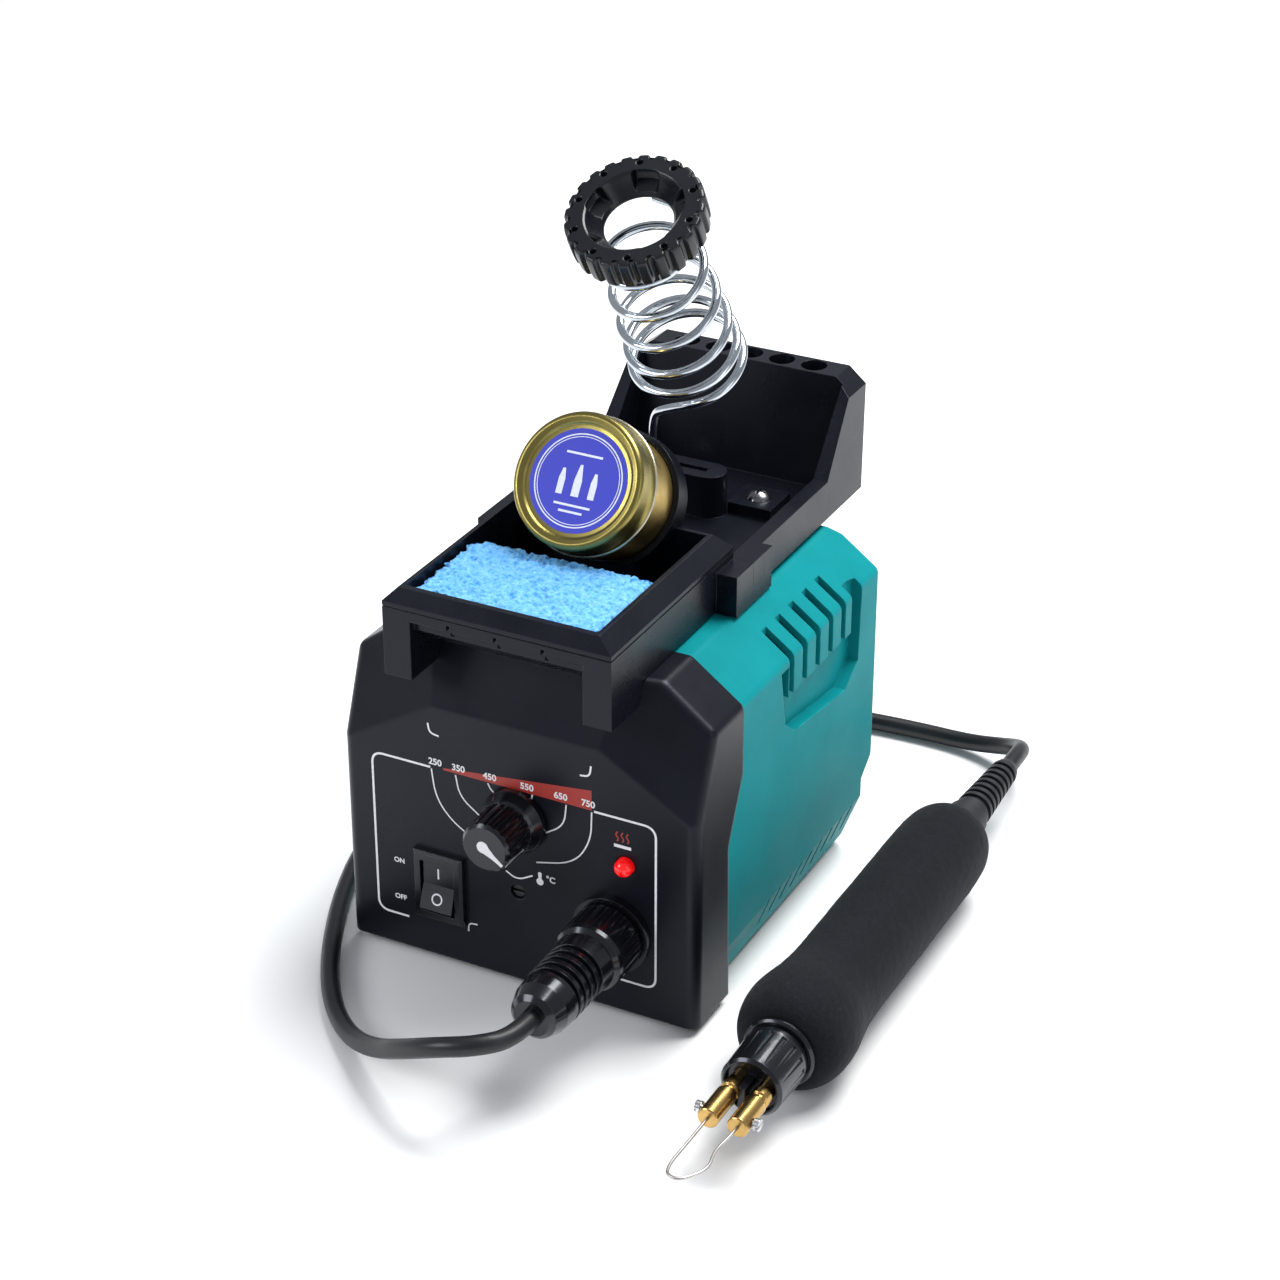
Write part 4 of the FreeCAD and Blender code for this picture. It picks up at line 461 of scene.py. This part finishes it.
def strip(name, path, width, place, material, body, thick=PRINT, closed=False):
    """A flat printed line: a low rectangle of the line's width and thickness carried along a path in the
    plane. An open line ends in a point at each end's middle."""
    path = np.asarray(path, float)
    if closed:
        tangent = np.roll(path, -1, axis=0) - np.roll(path, 1, axis=0)
    else:
        tangent = np.gradient(path, axis=0)
    tangent /= np.linalg.norm(tangent, axis=1, keepdims=True)
    side = np.stack([-tangent[:, 1], tangent[:, 0]], axis=-1) * width / 2
    left, right = path + side, path - side
    low = np.full(len(path), -thick)
    high = np.full(len(path), thick)
    corners = [place(*left.T, low), place(*left.T, high), place(*right.T, high), place(*right.T, low)]
    rows = np.stack(corners, axis=1)
    if closed:
        rows = np.concatenate([rows, rows[:1]])
    else:
        start = np.repeat(rows[:1].mean(axis=1, keepdims=True), 4, axis=1)
        end = np.repeat(rows[-1:].mean(axis=1, keepdims=True), 4, axis=1)
        rows = np.concatenate([start, rows, end])
    return surface(name, rows, material, body, smooth=False)


def plate(name, outline, place, material, body, thick=PRINT):
    """A thin plate inside an outline that its middle sees all of: rows are the middle and the rim at height
    thick, then the rim and the middle at height -thick."""
    outline = np.asarray(outline, float)
    middle = np.repeat(outline.mean(axis=0, keepdims=True), len(outline), axis=0)
    high = np.full(len(outline), thick)
    rows = [place(*middle.T, high), place(*outline.T, high), place(*outline.T, -high), place(*middle.T, -high)]
    return surface(name, np.stack(rows), material, body, smooth=False)


def arc(centre, radius, start, end, steps=40):
    """Points on a circle from one angle to another, in degrees."""
    turn = np.radians(np.linspace(start, end, steps))
    return np.stack([centre[0] + radius * np.cos(turn), centre[1] + radius * np.sin(turn)], axis=-1)


def lettering(name, text, centre, height, place, material, body):
    """Plain figures as low solid letters, centred on a point of the plane."""
    curve = bpy.data.curves.new(name, "FONT")
    curve.body = text
    curve.size = height / 0.72
    curve.align_x = "CENTER"
    curve.align_y = "CENTER"
    curve.extrude = PRINT
    curve.offset = height * 0.035
    source = bpy.data.objects.new(name + "_outline", curve)
    bpy.context.scene.collection.objects.link(source)
    bpy.context.view_layer.update()
    mesh = bpy.data.meshes.new_from_object(source.evaluated_get(bpy.context.evaluated_depsgraph_get()))
    bpy.data.objects.remove(source)
    flat = np.empty(len(mesh.vertices) * 3)
    mesh.vertices.foreach_get("co", flat)
    flat = flat.reshape(-1, 3)
    mesh.vertices.foreach_set("co", place(flat[:, 0] + centre[0], flat[:, 1] + centre[1], flat[:, 2]).ravel())
    mesh.update()
    mesh.name = name
    mesh.materials.clear()
    mesh.materials.append(material)
    obj = bpy.data.objects.new(name, mesh)
    bpy.context.scene.collection.objects.link(obj)
    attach(obj, body)
    return obj


# ---- cord ----
ROUTE = [
    (28.5, -101.5, 26.5), (28.5, -110.5, 26.5), (22.2, -118.4, 27.0), (11.8, -120.6, 24.6),
    (1.0, -117.6, 18.6), (-10.5, -111.8, 11.0), (-22.0, -104.6, 5.2), (-32.0, -96.6, 2.9),
    (-40.4, -87.4, 2.9), (-48.2, -76.0, 2.9), (-55.8, -62.0, 2.9), (-63.2, -46.0, 2.9),
    (-69.6, -28.0, 2.9), (-73.6, -8.0, 2.9), (-74.6, 13.0, 2.9), (-72.0, 34.0, 2.9),
    (-65.6, 54.0, 2.9), (-55.0, 72.0, 2.9), (-40.4, 87.0, 2.9), (-22.4, 98.4, 2.9),
    (-3.4, 105.6, 2.9), (14.6, 109.8, 2.9), (31.0, 112.2, 2.9), (46.5, 113.2, 2.9),
    (60.5, 112.6, 3.4), (72.6, 109.4, 7.0), (80.6, 102.6, 12.2), (82.8, 93.0, 15.5), (82.8, 84.0, 15.5),
]
CORD_D = 0.0052
cord_curve = bpy.data.curves.new("pen_cord", "CURVE")
cord_curve.dimensions = "3D"
cord_curve.bevel_depth = CORD_D / 2
cord_curve.bevel_resolution = 8
cord_curve.resolution_u = 16
cord_curve.use_fill_caps = True
cord_line = cord_curve.splines.new("NURBS")
cord_line.points.add(len(ROUTE) - 1)
for point, at in zip(cord_line.points, ROUTE):
    point.co = (*mm(*at), 1.0)
cord_line.order_u = 3
cord_line.use_endpoint_u = True
cord_curve.materials.append(cord_black)
pen_cord = bpy.data.objects.new("pen_cord", cord_curve)
bpy.context.scene.collection.objects.link(pen_cord)
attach(pen_cord, "station")
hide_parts("tool_cord")


# ---- panel print ----
LINE = 0.00062                       # width of the border line
THIN_LINE = 0.0004
CORNER = 7.0                         # the border turns within this many millimetres of its corners


def panel_line(name, path, width=LINE, rounds=4):
    """A printed line on the panel, through millimetre points whose corners are eased."""
    line = strip(name, eased(mm(*path), rounds), width, on_panel, white_ink, "station")
    return line


left, right, low, top = -43.4, 40.7, 12.0, 61.2
panel_line("border_left", [(-25.5, top), (left + CORNER, top), (left, top), (left, top - CORNER),
                           (left, 40.0), (left, 30.0), (left, low + CORNER), (left, low),
                           (left + CORNER, low), (-34.0, low)])
panel_line("border_right", [(23.0, top), (right - CORNER, top), (right, top), (right, top - CORNER),
                            (right, 40.0), (right, low + CORNER), (right, low), (right - CORNER, low),
                            (24.0, low)])
panel_line("corner_tick_left", [(-25.8, 74.4), (-25.4, 71.6), (-22.6, 71.2)], 0.0005)
panel_line("corner_tick_right", [(22.2, 74.4), (21.8, 71.3), (19.0, 70.9)], 0.0005)
panel_line("corner_tick_low", [(-15.4, 12.9), (-15.3, 15.6), (-12.6, 15.8)], THIN_LINE)
LEADERS = {
    "leader_250": [(-25.2, 60.8), (-24.2, 52.6), (-19.8, 46.6), (-12.6, 42.4)],
    "leader_350": [(-17.9, 60.8), (-16.8, 54.6), (-11.0, 50.4)],
    "leader_450": [(-8.2, 61.0), (-7.2, 59.0), (-4.6, 57.8)],
    "leader_550": [(5.0, 61.2), (4.6, 59.2), (2.0, 58.2)],
    "leader_650": [(14.9, 60.9), (14.2, 54.4), (8.2, 50.4)],
    "leader_750": [(22.3, 60.8), (22.0, 52.0), (17.0, 43.8), (5.8, 40.9)],
    "leader_scale": [(-3.4, 35.6), (0.0, 33.8), (4.6, 36.4)],
}
for leader, points in LEADERS.items():
    panel_line(leader, points, THIN_LINE)
FIGURES_Z = 63.0
FIGURES = {"250": -24.0, "350": -17.0, "450": -7.6, "550": 3.4, "650": 13.3, "750": 21.3}
for text, place_x in FIGURES.items():
    lettering("dial_" + text, text, mm(place_x, FIGURES_Z), 0.0019, on_panel, white_ink, "station")
lettering("mark_on", "ON", mm(-36.3, 29.2), 0.0015, on_panel, white_ink, "station")
lettering("mark_off", "OFF", mm(-36.3, 17.6), 0.0015, on_panel, white_ink, "station")
lettering("mark_degrees", "°C", mm(10.0, 36.6), 0.0018, on_panel, white_ink, "station")


def under_print(a, b, h):
    """Ink on the panel half as thick as the figures that cross it."""
    return on_panel(a, b, h * 0.5)


plate("dial_red_bar", mm((-21.6, 61.3), (22.3, 61.3), (22.3, 67.2), (-21.6, 61.9)), under_print, red_ink,
      "station")
bulb = np.concatenate([arc(mm(6.8, 35.2), 0.00105, -245, 65), arc(mm(6.8, 37.6), 0.00055, 0, 180)])
plate("mark_bulb", bulb, on_panel, white_ink, "station")
plate("mark_lamp", mm((28.7, 52.5), (33.6, 52.5), (33.6, 53.4), (28.7, 53.4)), on_panel, white_ink, "station")
for number, at in enumerate((29.6, 31.1, 32.6)):
    squiggle = mm((at, 54.3), (at + 0.5, 55.2), (at - 0.5, 56.2), (at + 0.2, 57.2))
    strip("mark_heat_%d" % (number + 1), eased(squiggle), THIN_LINE, on_panel, red_ink, "station")

# ---- knob pointer ----
knob_low, knob_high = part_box("temperature_knob")
KNOB = np.array([(knob_low.x + knob_high.x) / 2, knob_low.y, (knob_low.z + knob_high.z) / 2])
POINTER_TURN = math.radians(-36.0)
KNOB_R = 0.007


def on_knob(a, b, h):
    """Coordinates on the knob's face, a outward along the pointer, b across it, h out of the face."""
    c, s = math.cos(POINTER_TURN), math.sin(POINTER_TURN)
    return np.stack([KNOB[0] + a * c - b * s, KNOB[1] - h, KNOB[2] + a * s + b * c], axis=-1)


drop = np.concatenate([arc((-0.0006, 0.0), 0.0017, 50, 310),
                       mm((3.2, -0.7), (6.4, -0.42), (6.4, 0.42), (3.2, 0.7))])
plate("knob_pointer", drop, on_knob, white_ink, "knob", 0.0001)


def on_knob_side(a, b, h):
    """Coordinates down the knob's side, a along its axis towards the panel, b round it, h out of the side."""
    radius = KNOB_R + h + 0.0004 * np.clip((a - 0.009) / 0.002, 0, 1)
    turn = POINTER_TURN + b / KNOB_R
    return np.stack([KNOB[0] + radius * np.cos(turn), KNOB[1] + a, KNOB[2] + radius * np.sin(turn)], axis=-1)


strip("knob_side_line", mm((0.9, 0.0), (4.0, 0.0), (7.0, 0.0), (9.8, 0.0)), 0.0008, on_knob_side, white_ink,
      "knob", 0.0001)

# ---- rocker marks ----
housing_low, housing_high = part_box("switch_housing")
SWITCH = np.array([(housing_low.x + housing_high.x) / 2, PANEL_Y, (housing_low.z + housing_high.z) / 2])
ROCKER_TILT = math.radians(-9.0)
ROCKER_HALF = 0.0072


def on_rocker(a, b, h):
    """Coordinates on the rocker's shallow vee, a across, b up from its middle, h out of its face."""
    out = -0.0033 - 0.0011 * np.abs(b) / ROCKER_HALF
    y = out - h
    c, s = math.cos(ROCKER_TILT), math.sin(ROCKER_TILT)
    return np.stack([SWITCH[0] + a, SWITCH[1] + 0.002 + y * c - b * s, SWITCH[2] + y * s + b * c], axis=-1)


strip("rocker_one", mm((0, 2.1), (0, 3.4), (0, 5.2)), 0.00045, on_rocker, white_ink, "rocker")
strip("rocker_ring", arc((0.0, -0.0038), 0.00145, 0, 360, 49)[:-1], 0.00042, on_rocker, white_ink, "rocker",
      closed=True)

# ---- tips tin ----
TILT = math.radians(34.0)
TIN_OUT = np.array([0.0, -math.cos(TILT), math.sin(TILT)])
TIN_UP = np.array([0.0, math.sin(TILT), math.cos(TILT)])
LID_FACE = mm(0.0, -22.7, 134.8)
LID_R = 0.0182
SKIRT = 0.009


def on_lid(a, b, h):
    """Coordinates on the lid's sunk face, a across, b up its slope, h out of it."""
    return LID_FACE + a[:, None] * X + b[:, None] * TIN_UP + (h[:, None] - 0.0009) * TIN_OUT


ROLL_MIDDLE = (0.0006, LID_R + 0.0001)                           # middle of the rolled lower edge
bead = arc(ROLL_MIDDLE, 0.00055, -100, 80, 12)
lip = arc((SKIRT - 0.0012, LID_R - 0.0016), 0.0016, 88, 0, 12)   # rounded front edge
lid_profile = np.concatenate([
    mm((7.5, 0), (7.5, 17.3), (0.2, 17.3)), bead, mm((1.6, 18.2), (4.0, 18.2), (6.8, 18.2)), lip,
    mm((9.0, 16.0), (9.0, 15.7), (8.7, 15.2), (8.2, 14.9), (8.1, 14.6), (8.1, 0))])
lid = turned("lid_shell", lid_profile, LID_FACE - TIN_OUT * SKIRT, TIN_OUT, tinplate, "lid", angle=50.0)
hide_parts("tin_lid")
TIN_LEN = 0.027
tin_foot = LID_FACE - TIN_OUT * TIN_LEN
tin_profile = np.concatenate([
    mm((0.1, 0), (0.1, 15.6)), arc((0.0013, 0.0158), 0.0012, 180, 90, 8),
    mm((2.4, 17.0), (8, 17.0), (14, 17.0), (15.4, 17.0), (16.2, 17.0), (25.2, 17.0), (25.4, 16.9),
       (25.4, 16.5), (25.2, 16.4), (2.0, 16.4), (0.8, 15.8), (0.7, 0))])
tin = turned("tin_body", tin_profile, tin_foot, TIN_OUT, tin_side, "tin", angle=50.0)
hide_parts("tips_tin")
rolled = np.concatenate([arc(ROLL_MIDDLE, 0.00062, -100, 80, 16), arc(ROLL_MIDDLE, 0.0003, 80, -100, 8)])
rolled = np.concatenate([rolled, rolled[:1]])
# the rolled edge is coloured paler than the lid: a painted highlight along the curl
edge = turned("lid_rolled_edge", rolled, LID_FACE - TIN_OUT * SKIRT, TIN_OUT, tin_edge_highlight, "lid", angle=60.0)
label = plate("lid_label", arc((0, 0), 0.0137, 0, 360, 121)[:-1], on_lid, label_blue, "lid", 0.00008)


def over_label(a, b, h):
    """Ink on top of the label."""
    return on_lid(a, b, h + 0.0001)


strip("label_ring_outer", arc((0, 0), 0.0122, 0, 360, 121)[:-1], 0.00035, over_label, label_white, "lid",
      closed=True)
strip("label_ring_inner", arc((0, 0), 0.0115, 0, 360, 121)[:-1], 0.0002, over_label, label_white, "lid",
      closed=True)
for number, (at, height, half) in enumerate(((-4.6, 2.6, 0.9), (0.0, 4.2, 1.1), (4.6, 2.6, 0.9))):
    shank = mm((at - half, -4.2), (at + half, -4.2), (at + half, 0.0), (at + 0.35, height),
               (at - 0.35, height), (at - half, 0.0))
    plate("label_tip_%d" % (number + 1), shank, over_label, label_white, "lid")
for number, (level, half) in enumerate(((-6.6, 5.2), (-8.3, 3.4), (6.9, 5.2))):
    strip("label_bar_%d" % (number + 1), mm((-half, level), (0, level), (half, level)), 0.0006, over_label,
          label_white, "lid")

# ---- wire stand ----
LEAN = math.radians(31.0)
COIL_DIR = np.array([0.0, -math.sin(LEAN), math.cos(LEAN)])
COIL_ACROSS = np.array([0.0, COIL_DIR[2], -COIL_DIR[1]])
COIL_LOW = mm(0.0, 40.1, 145.2)
COIL_TURNS, COIL_EASE, COIL_STEPS, COIL_START = 5.42, 3.0, 12, -50.0
COIL_LOW_R, COIL_TOP_R, WIRE_R = 0.0157, 0.0124, 0.00125
COIL_FIRST_PITCH, COIL_PITCH, COIL_DROP = 0.0042, 0.012, 0.002


def coil_rise(turns):
    """Height above the first ring after some turns: the pitch grows evenly from close to open, then stays."""
    opening = np.minimum(turns, COIL_EASE)
    growth = (COIL_PITCH - COIL_FIRST_PITCH) / COIL_EASE
    return COIL_FIRST_PITCH * opening + growth * opening ** 2 / 2 + COIL_PITCH * (turns - opening)


turns = np.arange(int(COIL_TURNS * COIL_STEPS) + 1) / COIL_STEPS
coil_r = COIL_LOW_R + (COIL_TOP_R - COIL_LOW_R) * coil_rise(turns) / coil_rise(np.array(COIL_TURNS))
coil_t = np.radians(COIL_START + 360.0 * turns)
coil = COIL_LOW + (coil_r * np.cos(coil_t))[:, None] * X + (coil_r * np.sin(coil_t))[:, None] * COIL_ACROSS
coil = coil + (coil_rise(turns) - COIL_DROP)[:, None] * COIL_DIR
stem = mm((-9.0, 37.5, 104.0), (-9.0, 37.5, 117.0), (-8.4, 36.5, 128.0))
tail = np.concatenate([stem, [[-0.003, coil[0, 1] + 0.0016, coil[0, 2] - 0.005]]])
stand = wire("stand_wire", eased(np.concatenate([tail, coil]), 3), WIRE_R, COIL_DIR, chrome, "stand", 24)
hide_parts("wire_stand")

# ---- collar of the stand ----
COLLAR_RISE = 0.052                  # from the coil's lowest ring to the collar's underside
COLLAR_FOOT = COIL_LOW + COLLAR_RISE * COIL_DIR
COLLAR_RIBS, CASTLES, PINS = 24, 5, 10


def collar_skin():
    """A turned ring whose radius and height change round it. Outside, a groove exp(-(x / 0.2)^4) is taken off
    at each of 24 places, where x runs from -0.5 to 0.5 across the place. Inside, five windows with soft sides
    push the funnel outward. On top, ten round pin marks sink in."""
    turn = np.linspace(0, 2 * np.pi, 960, endpoint=False)
    inside = eased(mm((0, 14.4), (4.2, 14.4), (4.2, 12.3), (2.7, 9.6), (2.7, 9.2), (3.3, 9.2)), 2)
    funnel = eased(mm((3.3, 9.2), (4.4, 10.0), (6.6, 11.6), (8.2, 12.5), (8.8, 12.9), (9.0, 13.4)), 2)
    top = mm(*[(9.0, radius) for radius in np.linspace(13.5, 17.2, 26)])
    outside = eased(mm((9.0, 17.3), (8.9, 18.3), (7.8, 18.65), (4.5, 18.65), (1.0, 18.5), (0.1, 18.0),
                       (0.0, 17.4)), 2)
    profile = np.concatenate([inside, funnel, top, outside, mm((0, 14.4))])
    start = np.cumsum([0, len(inside), len(funnel), len(top), len(outside)])
    along = np.repeat(profile[:, :1], len(turn), axis=1)
    radius = np.repeat(profile[:, 1:], len(turn), axis=1)
    rib = (turn * COLLAR_RIBS / (2 * np.pi)) % 1.0 - 0.5
    groove = np.exp(-(rib / 0.2) ** 4)
    outer = slice(start[3], start[4])
    radius[outer] -= 0.0011 * groove * np.clip((radius[outer] - 0.0165) / 0.0012, 0, 1)
    window = 1 / (1 + np.exp(-14 * (np.cos(CASTLES * (turn - 0.5)) - 0.25)))
    inner = slice(start[1], start[2])
    height = np.clip((along[inner] - 0.0044) / 0.0006, 0, 1) * np.clip((0.0090 - along[inner]) / 0.0008, 0, 1)
    radius[inner] += np.clip(0.0148 - radius[inner], 0, 0.0032) * window * height
    face = slice(start[2], start[3])
    pin = (np.round(turn / (2 * np.pi) * PINS) % PINS) * 2 * np.pi / PINS
    reach = np.hypot(radius[face] * np.sin(turn - pin), radius[face] * np.cos(turn - pin) - 0.0158)
    along[face] -= 0.0016 / (1 + np.exp((reach - 0.00075) / 0.00007))
    ring = np.cos(turn)[:, None] * X + np.sin(turn)[:, None] * COIL_ACROSS
    return COLLAR_FOOT + along[..., None] * COIL_DIR + radius[..., None] * ring


collar_rows = collar_skin()
collar = surface("collar_ring", np.concatenate([collar_rows, collar_rows[:1]]), collar_black, "stand",
                 angle=38.0)
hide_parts("stand_collar")

# ---- pen ----
PEN = mm(82.8, 0.0, 15.5)
GRIP_START = np.array([0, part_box("pen_grip")[0].y, 0])
GRIP_ROWS, GRIP_SIDES = 260, 160
grip_outline = mm((0.15, 7.05), (0, 8.2), (0, 10.2), (1.0, 12.2), (3.5, 14.2), (7, 15.25), (11, 15.6),
                  (16, 15.3), (22, 14.2), (30, 13.3), (45, 13.25), (60, 13.3), (75, 13.3), (90, 13.35),
                  (102, 13.3), (109, 12.7), (113.2, 11.0), (115.6, 8.6), (116.0, 7.05))
grip_profile = eased(grip_outline, 3)
counts = np.arange(len(grip_profile))
fine = np.interp(np.linspace(0, 1, GRIP_ROWS), np.linspace(0, 1, len(grip_profile)), counts)
fine_profile = np.stack([np.interp(fine, counts, grip_profile[:, k]) for k in (0, 1)], axis=-1)
sides = np.linspace(0, 2 * np.pi, GRIP_SIDES, endpoint=False)
ring = np.cos(sides)[:, None] * X + np.sin(sides)[:, None] * Z
grip_rows = PEN + GRIP_START + fine_profile[:, None, :1] * Y + fine_profile[:, None, 1:] * ring[None]
lump = 0.00003 * waves(grip_rows, 0.016, 14, 5) + 0.00002 * waves(grip_rows, 0.0030, 20, 6)
lump = lump * np.clip((fine_profile[:, 1] - 0.0075) / 0.003, 0, 1)[:, None]
grip_rows = grip_rows + (lump - 0.00008)[..., None] * ring[None]
grip_rows = np.concatenate([grip_rows, grip_rows[:1]])
grip = surface("foam_grip", grip_rows, grip_foam, "station", angle=80.0)
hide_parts("pen_grip")

GRIP_FRONT, NUT_LEN, TERMINAL_OUT = -0.071, 0.0178, 0.0157
TERMINAL_FACE = GRIP_FRONT - NUT_LEN - TERMINAL_OUT
tip_points = PEN + np.array([0, TERMINAL_FACE, 0]) + mm(
    (-4.0, 7.5, 0), (-4.0, -8, 0), (-4.3, -22.5, 0), (-0.8, -24.4, 0), (1.6, -22.8, 0), (4.9, -17.2, 0),
    (3.1, -10.6, 0), (4.0, -3.8, 0), (4.0, 7.5, 0))
tip = wire("tip_loop", eased(tip_points, 4), 0.00042, Z, heated_wire, "tip", 16)
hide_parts("tip_wire")

# ---- sponge ----
sponge_low, sponge_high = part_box("sponge")
TOP_ROWS, SIDE_ROWS, UNDER_ROWS, SPONGE_SIDES = 110, 8, 12, 520
PORES = 420


def sponge_skin():
    """A slab of sponge in one grid: rings from the top's middle out to its torn rim, down the sides, and in
    below. Each ring is a rounded rectangle (c, s) / (|c|^14 + |s|^14)^(1/14) for c = cos t and s = sin t. The
    top sinks by pores exp(-(gap / reach)^2) at random places, and rises and falls by random waves."""
    half = np.array([(sponge_high.x - sponge_low.x) / 2, (sponge_high.y - sponge_low.y) / 2])
    middle = np.array([(sponge_high.x + sponge_low.x) / 2, (sponge_high.y + sponge_low.y) / 2])
    turn = np.linspace(0, 2 * np.pi, SPONGE_SIDES, endpoint=False)
    shape = np.stack([np.cos(turn), np.sin(turn)], axis=-1)
    square = shape / (np.abs(shape) ** 14).sum(axis=1, keepdims=True) ** (1 / 14)
    share = np.concatenate([np.linspace(0, 1, TOP_ROWS), np.full(SIDE_ROWS, 1.0),
                            np.linspace(1, 0, UNDER_ROWS)])
    drop = np.concatenate([np.zeros(TOP_ROWS), np.linspace(0.0012, 0.0108, SIDE_ROWS),
                           np.full(UNDER_ROWS, 0.0110)])
    flat = middle + share[:, None, None] * square[None] * half
    points = np.concatenate([flat, (sponge_high.z - drop)[:, None, None] + 0 * flat[..., :1]], axis=-1)
    torn = 0.00045 * waves(points, 0.0055, 18, 11) + 0.00025 * waves(points, 0.0018, 20, 12) - 0.0007
    torn = torn * np.clip((share - 0.85) / 0.15, 0, 1)[:, None]
    points[..., :2] += torn[..., None] * np.sign(square[None]) * np.abs(square[None]) ** 3
    rng = np.random.default_rng(21)
    places = middle + rng.uniform(-1, 1, (PORES, 2)) * half
    reach = rng.uniform(0.0003, 0.0010, PORES)
    top = points[:TOP_ROWS]
    gap = np.linalg.norm(top[:, :, None, :2] - places, axis=-1)
    pores = np.exp(-(gap / reach) ** 2) * reach * 0.55
    roll = 0.0011 * np.clip((share[:TOP_ROWS] - 0.93) / 0.07, 0, 1) ** 2
    top[..., 2] -= pores.sum(axis=-1) + roll[:, None]
    top[..., 2] += 0.00014 * waves(top, 0.0045, 24, 14) + 0.00012 * waves(top, 0.0012, 30, 15) - 0.0004
    return points


pad = surface("cleaning_sponge", sponge_skin(), sponge_blue, "sponge", angle=80.0)
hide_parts("sponge")

# ---- floor ----
floor_mesh = bpy.data.meshes.new("floor")
FLOOR_HALF, FLOOR_Z = 6.0, -0.0002
floor_corners = [(x * FLOOR_HALF, y * FLOOR_HALF, FLOOR_Z) for x, y in ((-1, -1), (1, -1), (1, 1), (-1, 1))]
floor_mesh.from_pydata(floor_corners, [], [(0, 1, 2, 3)])
floor_mesh.materials.append(floor_finish("pale_floor"))
floor = bpy.data.objects.new("floor", floor_mesh)
bpy.context.scene.collection.objects.link(floor)
